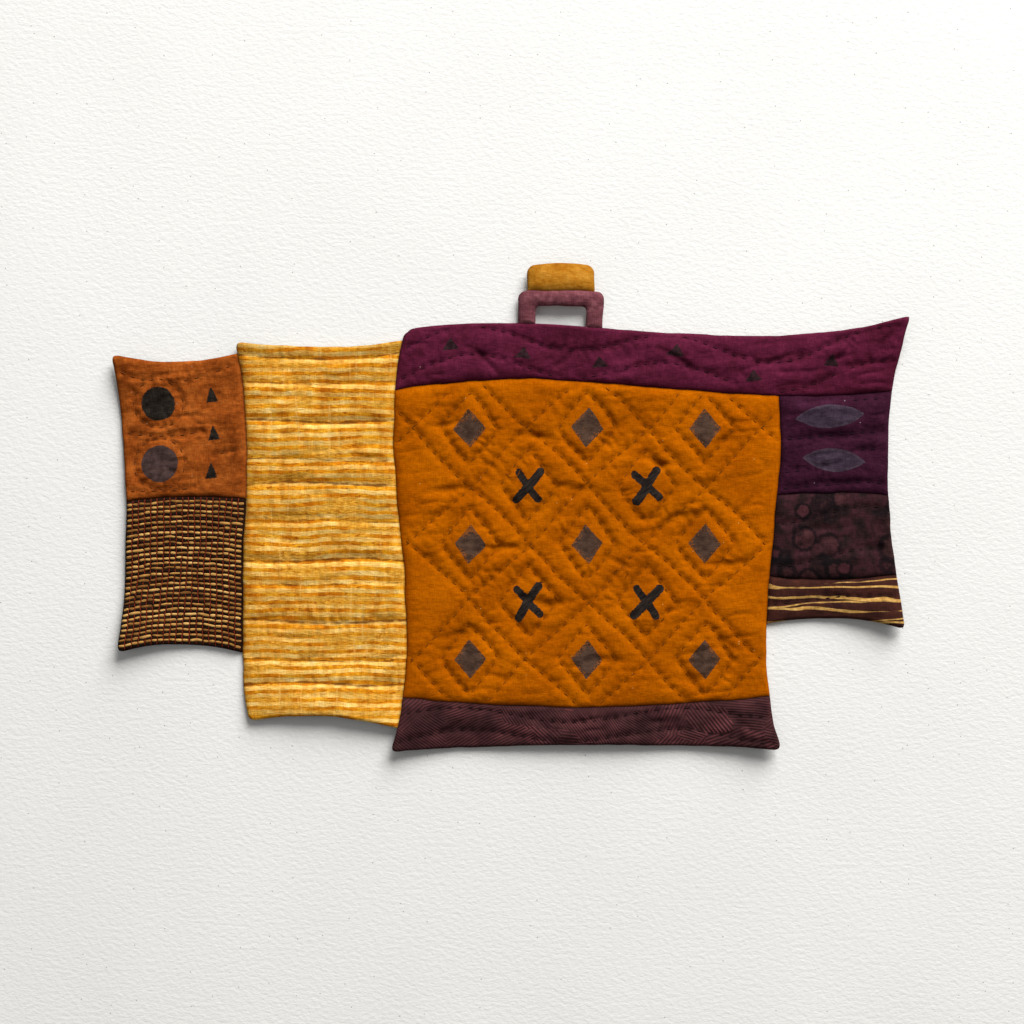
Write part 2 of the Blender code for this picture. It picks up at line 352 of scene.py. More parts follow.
def outside_disc(x, z, middle, radius):
    return np.hypot(x - middle[0], z - middle[1]) - radius


def outside_triangle(x, z, middle, half_width, half_height, lean):
    """An upright triangle."""
    across, up = leaning(x, z, middle, lean)
    slant = math.hypot(half_width, 2 * half_height)
    side = (abs(across) * 2 * half_height + (up - half_height) * half_width) / slant
    return np.maximum(side, -half_height - up)


def outside_petal(x, z, middle, half_length, half_width, lean):
    """A pointed petal: what two equal circles share."""
    along, up = leaning(x, z, middle, lean)
    radius = (half_length**2 + half_width**2) / (2 * half_width)
    return np.hypot(along, abs(up) + radius - half_width) - radius


SQUARE_LEANS = (3, -4, 2, -3, 5, -2, 4, -5, 1)
CROSS_LEANS = (4, -6, -3, 7)
CROSS_STROKES = ((52, 9.6, 2.3), (-49, 8.8, 2.0))
BLACK_DISC = ((24, 183), 9.0)
GREY_DISC = ((25, 151), 9.5)
TRIANGLE_PLACES = (178, 216, 257, 297, 338, 379)
RUST_TRIANGLES = [(52, 188), (53, 168), (52, 148)]
PETALS = [((378, 176), 18.0, 6.2, 4), ((380, 153), 17.0, 6.0, -5)]


def nearest(distances):
    return np.min(list(distances), axis=0)


def ochre_squares(x, z):
    squares = [shape[2:] for shape in shape_middles() if shape[0] % 2 == 0]
    return nearest(
        outside_square(x, z, middle, SHAPE_HALF_WIDTH, SHAPE_HALF_HEIGHT, lean)
        for middle, lean in zip(squares, SQUARE_LEANS)
    )


def ochre_crosses(x, z):
    strokes = []
    crosses = [shape[2:] for shape in shape_middles() if shape[0] % 2 == 1]
    for (middle_x, middle_z), lean in zip(crosses, CROSS_LEANS):
        for turn, length, radius in CROSS_STROKES:
            dx = length * math.cos(math.radians(turn + lean))
            dz = length * math.sin(math.radians(turn + lean))
            start, end = (middle_x - dx, middle_z - dz), (middle_x + dx, middle_z + dz)
            strokes.append(outside_stroke(x, z, start, end, radius))
    return nearest(strokes)


def magenta_wave(x, share):
    """A level line this far up the magenta cloth, swaying as its quilting does."""
    foot, top = SEAMS["magenta foot"](x), SEAMS["magenta top"](x)
    return foot + (top - foot) * (share - 0.2 * np.sin(x / RIPPLE_LENGTH))


def magenta_triangles(x, z):
    return nearest(
        outside_triangle(x, z, (middle_x, magenta_wave(middle_x, 0.5)), 4.4, 3.2, (-1) ** place * 6)
        for place, middle_x in enumerate(TRIANGLE_PLACES)
    )


def rust_blacks(x, z):
    triangles = [outside_triangle(x, z, middle, 3.2, 4.2, 5) for middle in RUST_TRIANGLES]
    return nearest([outside_disc(x, z, *BLACK_DISC), *triangles])


def rust_greys(x, z):
    return outside_disc(x, z, *GREY_DISC)


def purple_petals(x, z):
    return nearest(outside_petal(x, z, *petal) for petal in PETALS)


# Quilting lines: evenly spaced points along each


Line = namedtuple("Line", "points depth half_width stitched")


def spaced(points, gap=POINT_GAP):
    """Points this far apart along a path."""
    points = np.asarray(points, float)
    run = np.concatenate([[0], np.cumsum(np.hypot(*np.diff(points, axis=0).T))])
    count = max(int(run[-1] / gap), 2)
    at = np.linspace(0, run[-1], count + 1)
    return np.column_stack([np.interp(at, run, points[:, 0]), np.interp(at, run, points[:, 1])])


def inside_panel(panel, x, z, margin):
    left, right = SEAMS[panel.left](z), SEAMS[panel.right](z)
    foot, top = SEAMS[panel.foot](x), SEAMS[panel.top](x)
    return (x > left + margin) & (x < right - margin) & (z > foot + margin) & (z < top - margin)


def lines_along(panel, x, z, margin, depth, stitched=True, outside=None):
    """The runs of a line that are inside a panel, off its shape and longer than two stitches."""
    points = spaced(np.column_stack([x, z]))
    keep = inside_panel(panel, *points.T, margin)
    if outside:
        keep &= outside(*points.T) > SHAPE_CLEARANCE
    for run in np.split(np.arange(len(points)), np.flatnonzero(np.diff(keep.astype(int))) + 1):
        if keep[run[0]] and len(run) > SHORTEST_RUN:
            yield Line(points[run], depth, LINE_HALF_WIDTH, stitched)


def ochre_lines(panel):
    """A ring round each painted shape, and a crossed trellis between the shapes."""
    width, height = SHAPE_HALF_WIDTH, SHAPE_HALF_HEIGHT
    grow = 1 + ECHO_GAP * math.hypot(width, height) / (width * height)
    turns = np.linspace(0, 2 * math.pi, 161)
    for row, place, middle_x, middle_z in shape_middles():
        dx = np.sign(np.cos(turns)) * abs(np.cos(turns)) ** RING_POWER * width * grow
        dz = np.sign(np.sin(turns)) * abs(np.sin(turns)) ** RING_POWER * height * grow
        stray = 0.5 * np.sin(3 * turns + row + 2 * place)
        yield from lines_along(panel, middle_x + dx + stray, middle_z + dz + 0.4 * stray, 1.5, ECHO_DEPTH)

    step_x, step_z = SHAPE_STEP_X / 2, SHAPE_STEP_Z
    half_way = np.linspace(-8, 8, 1200)
    for slope in (1, -1):
        for odd in range(-11, 12, 2):
            x = SHAPES_MIDDLE[0] + (odd / 2 + half_way) * step_x
            z = SHAPES_MIDDLE[1] + slope * (odd / 2 - half_way) * step_z
            x = x - step_x * CROSSED_SWAY * np.sin((x - slope * z) / 19)
            yield from lines_along(panel, x, z, 1.5, CROSSED_DEPTH)


def tuck_levels(x):
    """The height of every tuck at x, and of the hem ridge's foot, each with its share of the full depth."""
    for number in range(TUCK_COUNT):
        level = TUCK_FIRST + TUCK_PITCH * number + TUCK_STRAY * math.sin(2.1 * (number + 1))
        yield level + TUCK_SWAY * np.sin(x / 14 + number + 1), WEAK_TUCK if number % 2 else 1.0
    yield SEAMS["golden top"](x) - HEM_RIDGE, 0.9


def from_tuck(x, z):
    """How far a place is from the nearest tuck, and further for a weak one."""
    return nearest(abs(z - level) + 0.9 * (1 - strength) for level, strength in tuck_levels(x))


def below_hem(x, z):
    return SEAMS["golden top"](x) - z


def golden_lines(panel):
    x = np.linspace(60, 160, 300)
    for level, strength in tuck_levels(x):
        yield from lines_along(panel, x, level, 0.3, TUCK_DEPTH * strength, False)


def ripple_lines(ripples, sway, outside=None, rings=()):
    """Level quilting, broken where it would cross a shape, and rings round shapes."""

    def lines(panel):
        left = min(SEAMS[panel.left](z) for z in (0, 60, 120, 180, 220))
        x = np.linspace(left - 10, left + 300, 1400)
        foot, top = SEAMS[panel.foot](x), SEAMS[panel.top](x)
        for number in range(-2, ripples + 2):
            share = (number + 0.5 - sway * np.sin(x / RIPPLE_LENGTH)) / ripples
            yield from lines_along(
                panel, x, foot + (top - foot) * share, 1.8, RIPPLE_DEPTH, outside=outside
            )
        for middle, radius in rings:
            turns = np.linspace(0, 2 * math.pi, 120)
            ring = np.column_stack([middle[0] + radius * np.cos(turns), middle[1] + radius * np.sin(turns)])
            yield Line(spaced(ring), RIPPLE_DEPTH, LINE_HALF_WIDTH * 0.9, True)

    return lines


def no_lines(panel):
    return []


def outside_rust_shapes(x, z):
    return np.minimum(rust_blacks(x, z), rust_greys(x, z)) - 1.2


# One row for each piece between four seams. Free is where a side has no neighbour: side, from and to.
Panel = namedtuple("Panel", "left right foot top free_corners free lines marks pucker slot")
EVERYWHERE = (-99, 999)
PANELS = {
    "rust_block": Panel(
        "left side", "golden left", "rust foot", "rust top", ["left top"],
        {"left": EVERYWHERE, "top": EVERYWHERE},
        ripple_lines(5, 0.25, outside_rust_shapes, [(BLACK_DISC[0], 13.0), (GREY_DISC[0], 13.2)]),
        {"brushed": rust_blacks, "painted": rust_greys}, 1.3, "rust_cotton",
    ),
    "nubby_block": Panel(
        "left side", "golden left", "nubby foot", "rust foot", ["left foot"],
        {"left": EVERYWHERE, "foot": EVERYWHERE}, no_lines, {}, 0.65, "nubby_weave",
    ),
    "golden_panel": Panel(
        "golden left", "ochre left", "golden foot", "golden top", ["left foot", "left top"],
        {"left": (-99, 51), "foot": EVERYWHERE, "top": EVERYWHERE},
        golden_lines, {"tuck": from_tuck, "hem": below_hem}, 0.75, "golden_batik",
    ),
    "ochre_field": Panel(
        "ochre left", "ochre right", "ochre foot", "magenta foot", [],
        {"right": (-99, 66)}, ochre_lines, {"painted": ochre_squares, "brushed": ochre_crosses}, 0.82,
        "ochre_cotton",
    ),
    "burgundy_band": Panel(
        "ochre left", "ochre right", "burgundy foot", "ochre foot", ["left foot", "right foot"],
        {"left": (-99, 12), "right": EVERYWHERE, "foot": EVERYWHERE}, ripple_lines(2, 0.3), {}, 1.15,
        "burgundy_rib",
    ),
    "magenta_band": Panel(
        "ochre left", "right side", "magenta foot", "magenta top", ["left top", "right top"],
        {"left": (216, 999), "right": EVERYWHERE, "top": EVERYWHERE},
        ripple_lines(2, 0.4, magenta_triangles), {"painted": magenta_triangles}, 1.3, "magenta_cotton",
    ),
    "purple_block": Panel(
        "ochre right", "right side", "purple foot", "magenta foot", [],
        {"right": EVERYWHERE}, ripple_lines(6, 0.15, purple_petals), {"sheer": purple_petals}, 1.25,
        "purple_cotton",
    ),
    "batik_block": Panel(
        "ochre right", "right side", "batik foot", "purple foot", [],
        {"right": EVERYWHERE}, ripple_lines(2, 0.2), {}, 1.1, "dark_batik",
    ),
    "streaked_strip": Panel(
        "ochre right", "right side", "streaked foot", "batik foot", ["right foot"],
        {"right": EVERYWHERE, "foot": EVERYWHERE}, ripple_lines(1, 0.1), {}, 0.7, "streaked_batik",
    ),
}


def crossing(upright, level):
    """Where an upright curve and a level one meet."""
    x = ORIGIN_X
    for _ in range(30):
        z = level(x)
        x = upright(z)
    return np.array([x, z])


def inset(seam, by):
    return lambda along: SEAMS[seam](along) + by


def patch(panel, u, v):
    """Places over the piece between four seams, and how far each is from the sides, foot and top."""
    left, right = inset(panel.left, -SEAM_LAP), inset(panel.right, SEAM_LAP)
    foot, top = inset(panel.foot, -SEAM_LAP), inset(panel.top, SEAM_LAP)
    foot_left, foot_right = crossing(left, foot), crossing(right, foot)
    top_left, top_right = crossing(left, top), crossing(right, top)

    foot_x = foot_left[0] + (foot_right[0] - foot_left[0]) * u
    top_x = top_left[0] + (top_right[0] - top_left[0]) * u
    left_z = foot_left[1] + (top_left[1] - foot_left[1]) * v
    right_z = foot_right[1] + (top_right[1] - foot_right[1]) * v

    def blended(on_foot, on_top, on_left, on_right, axis):
        low = (1 - u) * foot_left[axis] + u * foot_right[axis]
        high = (1 - u) * top_left[axis] + u * top_right[axis]
        corners = (1 - v) * low + v * high
        return (1 - v) * on_foot + v * on_top + (1 - u) * on_left + u * on_right - corners

    x = blended(foot_x, top_x, left(left_z), right(right_z), 0)
    z = blended(foot(foot_x), top(top_x), left_z, right_z, 1)
    width = (1 - v) * (foot_right[0] - foot_left[0]) + v * (top_right[0] - top_left[0])
    height = (1 - u) * (top_left[1] - foot_left[1]) + u * (top_right[1] - foot_right[1])
    sides = {"left": u * width, "right": (1 - u) * width, "foot": v * height, "top": (1 - v) * height}
    return x, z, sides


def rounded(x, z, sides, free_corners):
    """The same places, drawn in round the free corners."""
    for corner in free_corners:
        side, end = corner.split()
        across = np.clip(1 - sides[side] / CORNER_RADIUS, 0, 1)
        along = np.clip(1 - sides[end] / CORNER_RADIUS, 0, 1)
        share = np.maximum(across, along) / np.maximum(np.hypot(across, along), 1e-9)
        drawn_in = CORNER_RADIUS * (1 - share)
        x = x + across * drawn_in * (1 if side == "left" else -1)
        z = z + along * drawn_in * (1 if end == "foot" else -1)
    return x, z


def steps_across(length):
    """Shares of a length, close together beside its two ends, in an even number of steps."""
    rim = np.array([0, 0.14, 0.42, 0.85, 1.4])
    middle_steps = 2 * round((length - 2 * rim[-1]) / STEP / 2)
    middle = np.linspace(rim[-1], length - rim[-1], middle_steps + 1)
    return np.concatenate([rim[:-1], middle, length - rim[:-1][::-1]]) / length


def quilted_lines(lines, x, z):
    """How far the quilting presses places on a cloth in, and how far the puckers beside it raise them."""
    pressed = np.zeros_like(x)
    puckers = np.zeros_like(x)
    for number, line in enumerate(lines):
        rough = np.full(x.shape, np.inf)
        for point in line.points[::12]:
            rough = np.minimum(rough, (x - point[0]) ** 2 + (z - point[1]) ** 2)
        near = np.flatnonzero(rough < (PUCKER_REACH + 4) ** 2)
        if not len(near):
            continue
        near_x, near_z = x[near], z[near]
        best = np.full(len(near), np.inf)
        where = np.zeros(len(near), int)
        for place, point in enumerate(line.points):
            away = (near_x - point[0]) ** 2 + (near_z - point[1]) ** 2
            closer = away < best
            best[closer] = away[closer]
            where[closer] = place
        tangents = np.gradient(line.points, axis=0)
        tangents /= np.hypot(*tangents.T)[:, None]
        offset = np.column_stack([near_x, near_z]) - line.points[where]
        along = POINT_GAP * where + np.sum(offset * tangents[where], axis=1)
        side = offset[:, 1] * tangents[where][:, 0] - offset[:, 0] * tangents[where][:, 1]
        beyond = np.clip(np.sqrt(best) - abs(side), 0, None)
        distance = np.hypot(side, beyond)
        turns = (along - FIRST_STITCH) / STITCH_PITCH
        stitch = 0.5 + 0.5 * np.cos(2 * math.pi * turns) if line.stitched else 0
        depth = line.depth * (0.78 + 0.22 * PUCKER_STRENGTH(near_x, near_z))
        wide = line.half_width if line.stitched else np.where(side > 0, 1.5, 0.75) * line.half_width
        here = depth * np.exp(-((distance / wide) ** 2))
        here = here + 0.45 * stitch**2 * np.exp(-((distance / 1.15) ** 2))
        pressed[near] = np.maximum(pressed[near], here)

        turn = np.where(side > 0, 1.9, 4.6) + 2.4 * number
        drift = 2.6 * PUCKER_DRIFT(near_x + 3.1 * number, near_z)
        wave = 1.9 * abs(np.sin(math.pi * (along + drift) / (STITCH_PITCH * 1.08) + turn)) - 1.1
        strength = 0.55 + 0.85 * PUCKER_STRENGTH(near_x - 40, near_z + 2.3 * number)
        far = 3.0 + 2.2 * line.depth / ECHO_DEPTH
        fade = np.exp(-distance / far) * (1 - np.exp(-((distance / 1.2) ** 2)))
        puckers[near] += 0.52 * line.depth / ECHO_DEPTH * np.clip(strength, 0.0, 1.3) * wave * fade
    return pressed, puckers


def free_share(panel, side, x, z):
    """How far a side is a free edge here, from 0 at a seam to 1."""
    if side not in panel.free:
        return np.zeros_like(x)
    low, high = panel.free[side]
    along = z if side in ("left", "right") else x
    return smooth_step(low - 1, low + 1, along) * (1 - smooth_step(high - 1, high + 1, along))


def mesh_object(name, places, faces, materials, slots=None):
    """A smooth mesh from places in metres."""
    mesh = bpy.data.meshes.new(name)
    mesh.from_pydata([tuple(place) for place in places], [], faces)
    for material in materials:
        mesh.materials.append(material)
    if slots is not None:
        mesh.polygons.foreach_set("material_index", slots)
    mesh.shade_smooth()
    mesh.update()
    piece = bpy.data.objects.new(name, mesh)
    bpy.context.scene.collection.objects.link(piece)
    return piece


def add_attribute(piece, name, values):
    layer = piece.data.attributes.new(name, "FLOAT", "POINT")
    layer.data.foreach_set("value", np.asarray(values, np.float32))


def slab(name, front, back, materials, facts):
    """A closed slab: a fine front grid and a back grid of every second line, joined round the rim.

    Front and back are places by column and row. Facts are named values over the front grid.
    """
    columns, rows = front.shape[:2]
    front_index = np.arange(columns * rows).reshape(columns, rows)
    back_columns, back_rows = (columns + 1) // 2, (rows + 1) // 2
    back_index = columns * rows + np.arange(back_columns * back_rows).reshape(back_columns, back_rows)

    def quads(index, turned):
        a, b = index[:-1, :-1].ravel(), index[1:, :-1].ravel()
        c, d = index[1:, 1:].ravel(), index[:-1, 1:].ravel()
        return np.column_stack([a, d, c, b] if turned else [a, b, c, d]).tolist()

    def rim(front_line, back_line, turned):
        for k in range(len(back_line) - 1):
            three = [front_line[2 * k], front_line[2 * k + 1], front_line[2 * k + 2]]
            two = [back_line[k + 1], back_line[k]]
            yield (three + two)[::-1] if turned else three + two

    front_faces, back_faces = quads(front_index, False), quads(back_index, True)
    rims = [
        *rim(front_index[:, 0], back_index[:, 0], True),
        *rim(front_index[:, -1], back_index[:, -1], False),
        *rim(front_index[0], back_index[0], False),
        *rim(front_index[-1], back_index[-1], True),
    ]
    faces = front_faces + [[int(corner) for corner in face] for face in rims] + back_faces
    slots = np.zeros(len(faces), np.int32)
    slots[len(front_faces) + len(rims):] = 1
    places = np.concatenate([front.reshape(-1, 3), back[::2, ::2].reshape(-1, 3)])
    piece = mesh_object(name, places, faces, materials, slots)
    for fact, values in facts.items():
        add_attribute(piece, fact, np.concatenate([values.ravel(), values[::2, ::2].ravel()]))
    return piece


def placed(x, z, forward):
    """Places in metres in the part's frame."""
    return np.stack([x - ORIGIN_X, -forward, z - ORIGIN_Z], axis=-1) * MM


def edge_round(distance, radius):
    """How far a turned edge has curved away this far in from it."""
    turned = 0.985 * np.clip(1 - distance / radius, 0, 1)
    return radius * (1 - np.sqrt(1 - turned**2))


def sewn(node, slot, x, z, behind, thick, materials, facts):
    """A cloth from its back to its front over the drape, in place of the part it stands for."""
    moved_x, moved_z = wandered(x, z)
    front, back = (placed(moved_x, moved_z, drape(x, z) + height) for height in (thick, behind))
    piece = slab(node + "_cloth", front, back, materials, facts)
    flat = (float(x.max() - x.min()) * MM, float(z.max() - z.min()) * MM)
    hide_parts(node)
    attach(piece, "root")
    return piece


def panel_piece(name, panel, cloth, backing):
    """One quilted cloth, and its quilting lines for the stitches."""
    _, _, sides = patch(panel, np.array([0.5]), np.array([0.5]))
    across = steps_across(float(sides["left"][0] + sides["right"][0]))
    up = steps_across(float(sides["foot"][0] + sides["top"][0]))
    u, v = np.meshgrid(across, up, indexing="ij")
    x, z, sides = patch(panel, u, v)
    x, z = rounded(x, z, sides, panel.free_corners)
    lines = list(panel.lines(panel))
    pressed, puckers = (part.reshape(x.shape) for part in quilted_lines(lines, x.ravel(), z.ravel()))

    risen = swell(sides.values())
    patchy = 0.35 + 0.65 * smooth_step(-0.35, 0.45, PUCKER_STRENGTH(x + 60, z - 30))
    puffs = 0.65 * BILLOW(x, z) + 0.95 * patchy * (abs(SOFT_PUCKER(x, z)) - 0.3)
    puffs = puffs + 0.22 * (abs(CROSS_PUCKER(x, z)) - 0.3) + 0.08 * SMALL_PUCKER(x, z)
    height = panel.pucker * (puckers + puffs) + creased(x, z)
    thick = THICK_EDGE + (THICK_FULL - THICK_EDGE - pressed + height) * risen

    behind, seam = np.zeros_like(x), np.zeros_like(x)
    for side, distance in sides.items():
        free = free_share(panel, side, x, z)
        curve = edge_round(distance, FREE_EDGE_ROUND)
        thick = thick - free * 0.82 * curve - (1 - free) * SEAM_DITCH * np.exp(-distance / 0.8)
        behind = np.maximum(behind, free * 0.70 * curve)
        thick = thick + free * 0.25 * np.exp(-(((distance - 1.5) / 1.2) ** 2))
        seam = np.maximum(seam, (1 - free) * np.exp(-distance / 0.7))
    thick = np.maximum(thick, behind + LEAST_THICK)
    behind = np.maximum(behind, 0.30 * pressed * risen)

    # Low is how deep a place lies in the quilting and the troughs, and seam is how near it is to a sewn seam:
    # both give painted shade in the cloth's colour
    low = np.clip(0.55 * pressed / ECHO_DEPTH - 0.55 * height, 0, 1)
    facts = {"low": low * risen, "seam": seam}
    for mark, outside in panel.marks.items():
        facts[mark] = outside(x, z)
    area = float((np.diff(x, axis=0)[:, :-1] * np.diff(z, axis=1)[:-1]).sum() * MM * MM)
    return sewn(name, panel.slot, x, z, behind, thick, [cloth, backing], facts), lines


def layer_on(piece, from_behind=False):
    """A function that lays places on the front of a piece, or on its back, so many millimetres proud of it.

    It gives them in metres, or gives None where one of them runs off the piece.
    """
    places = [vert.co for vert in piece.data.vertices]
    tree = BVHTree.FromPolygons(places, [tuple(face.vertices) for face in piece.data.polygons])
    way = 1 if from_behind else -1

    def laid(x, z, stand):
        x, z = wandered(x, z)
        metres_x, metres_z = (x - ORIGIN_X) * MM, (z - ORIGIN_Z) * MM
        forward = []
        for place in zip(metres_x, metres_z):
            hit = tree.ray_cast(Vector((place[0], 0.03 * way, place[1])), Vector((0, -way, 0)))[0]
            if hit is None:
                return None
            forward.append(-hit.y)
        return np.column_stack([metres_x, -(np.array(forward) - way * stand * MM), metres_z])

    return laid


def threads(name, cloth_piece, centres, widths, heights, sides, material, facing=-1):
    """Closed tapered threads on a cloth, with centres by thread and point, in metres."""
    centres = np.asarray(centres, float)
    count, points, _ = centres.shape
    tangents = np.gradient(centres, axis=1)
    tangents /= np.linalg.norm(tangents, axis=2)[..., None]
    across = np.cross(tangents, np.array([0.0, facing, 0.0]))
    across /= np.linalg.norm(across, axis=2)[..., None]
    outward = np.cross(across, tangents)
    turns = np.arange(sides) * 2 * math.pi / sides
    widths = np.broadcast_to(widths, (count, points))[..., None, None]
    heights = np.broadcast_to(heights, (count, points))[..., None, None]
    rings = (
        centres[:, :, None]
        + across[:, :, None] * np.cos(turns)[:, None] * widths
        + outward[:, :, None] * np.sin(turns)[:, None] * heights
    )
    index = np.arange(count * points * sides).reshape(count, points, sides)
    following = np.roll(index, -1, axis=2)
    quads = np.stack([index[:, :-1], following[:, :-1], following[:, 1:], index[:, 1:]], axis=-1)
    faces = quads.reshape(-1, 4).tolist()
    faces += index[:, 0, ::-1].tolist() + index[:, -1].tolist()
    piece = mesh_object(name, rings.reshape(-1, 3), faces, [material])
    piece.parent = cloth_piece
    return piece


def stitches(name, cloth_piece, lines, thread, from_behind=False):
    """Running stitches along the quilting, each sunk into the cloth at both ends."""
    laid = layer_on(cloth_piece, from_behind)
    stand = np.array([-0.30, 0.06, 0.16, 0.16, 0.06, -0.30])
    shares = np.array([-0.5, -0.36, -0.12, 0.12, 0.36, 0.5])
    rows = []
    for number, line in enumerate(lines):
        if not line.stitched:
            continue
        steps = np.arange(len(line.points))
        first = FIRST_STITCH + (STITCH_PITCH / 2 if from_behind else 0)
        for middle in np.arange(first, POINT_GAP * steps[-1] - 2, STITCH_PITCH):
            vary = 0.35 * math.sin(7.3 * middle + number)
            along = (middle + (STITCH_LENGTH + vary) * shares) / POINT_GAP
            path = laid(*(np.interp(along, steps, part) for part in line.points.T), stand)
            if path is not None:
                rows.append(path)
    if rows:
        radius = STITCH_RADIUS * MM * np.array([0.3, 0.9, 1.05, 1.05, 0.9, 0.3])
        threads(name, cloth_piece, rows, radius, radius, 6, thread, 1 if from_behind else -1)


def weft_slubs(cloth_piece, panel, slub_cloth, dark_cloth, tick_cloth):
    """The nubby cloth's gold weft rows in dashes, dark rows between them, and thin red warp threads."""
    laid = layer_on(cloth_piece)
    random = np.random.default_rng(5)
    slubs, darks, ticks, tones = [], [], [], []
    blunt = np.array([0.45, 0.88, 1.0, 1.03, 1.0, 0.88, 0.45])
    lift = np.array([-0.16, 0.10, 0.20, 0.24, 0.20, 0.10, -0.16])

    def path_on(u, v, stand, stray=0.0):
        x, z, _ = patch(panel, u, v)
        return laid(x, z + stray + 0.40 * SLUB(x, z), stand)

    for half_row in range(1, 2 * WEFT_ROWS):
        gold = half_row % 2 == 0
        share = half_row / 2 / WEFT_ROWS
        row_tone = random.uniform(-0.5, 0.35)
        _, _, sides = patch(panel, np.array([0.0]), np.array([share]))
        length = float(sides["right"][0])
        count = round((length - 1.2) / WARP_PITCH)
        pitch = (length - 1.2) / count
        joined = False
        for column in range(count):
            left = 0.6 + column * pitch + 0.30 * math.sin(0.9 * half_row + column) * 0.4
            long = pitch - 0.42 + random.uniform(-0.25, 0.12)
            if gold and not joined and column < count - 1 and random.random() < 0.10:
                long, joined = long + pitch, True
            elif joined:
                joined = False
                continue
            u = (left + long * np.array([0, 0.08, 0.26, 0.5, 0.74, 0.92, 1.0])) / length
            stand = lift + random.uniform(-0.12, 0.08) - (0 if gold else 0.16)
            path = path_on(u, np.full(7, share), stand, random.uniform(-0.10, 0.10))
            if path is not None and gold:
                width = blunt * random.uniform(0.58, 0.80) * MM
                slubs.append((path, width, blunt * random.uniform(0.34, 0.44) * MM))
                tones.append(row_tone + random.uniform(-0.55, 0.55))
            elif path is not None:
                darks.append((path, blunt * random.uniform(0.50, 0.64) * MM, blunt * 0.32 * MM))
            if not joined and column < count - 1:
                u = np.full(4, (left + long + 0.21) / length)
                v = share + np.array([-0.36, -0.14, 0.14, 0.36]) / WEFT_ROWS
                path = path_on(u, v, np.array([-0.12, 0.22, 0.22, -0.12]) + (0.06 if gold else -0.02))
                if path is not None:
                    ticks.append(path)

    for name, rows, material in (("weft", slubs, slub_cloth), ("dark_weft", darks, dark_cloth)):
        paths, widths, heights = (np.array(part) for part in zip(*rows))
        piece = threads("nubby_block_" + name, cloth_piece, paths, widths, heights, 8, material)
        if name == "weft":
            add_attribute(piece, "tone", np.repeat(tones, 7 * 8))
    radius = 0.22 * MM * np.array([0.7, 1, 1, 0.7])
    threads("nubby_block_warp", cloth_piece, ticks, radius, radius, 6, tick_cloth)


def thread_tail(name, cloth_piece, points, thread):
    """A loose end of quilting thread, curling on the cloth."""
    path = spaced(points, 0.6)
    stand = 0.15 + 0.9 * np.sin(math.pi * np.linspace(0, 1, len(path))) ** 2
    stand[0] = -0.2
    radius = np.full(len(path), 0.15 * MM)
    radius[-1] = 0.05 * MM
    threads(name, cloth_piece, layer_on(cloth_piece)(*path.T, stand)[None], radius, radius, 6, thread)


# Materials


class Value:
    """A number, colour or place that a material's nodes work out. Numbers can be added and multiplied."""

    def __init__(self, look, socket):
        self.look, self.socket = look, socket

    def __add__(self, other):
        return self.look.math("ADD", self, other)

    def __sub__(self, other):
        return self.look.math("SUBTRACT", self, other)

    def __mul__(self, other):
        return self.look.math("MULTIPLY", self, other)

    def __truediv__(self, other):
        return self.look.math("DIVIDE", self, other)

    def above(self, other):
        """1 where this is above the other, 0 elsewhere."""
        return self.look.math("GREATER_THAN", self, other)

    def to(self, low, high, to_low=0.0, to_high=1.0):
        """Mapped smoothly, from low and high to the other two, and held beyond them."""
        inputs = dict(enumerate((self, low, high, to_low, to_high)))
        return self.look.node("MapRange", inputs, interpolation_type="SMOOTHSTEP")

    def beside(self, name):
        """Another output of the same node."""
        return Value(self.look, self.socket.node.outputs[name])


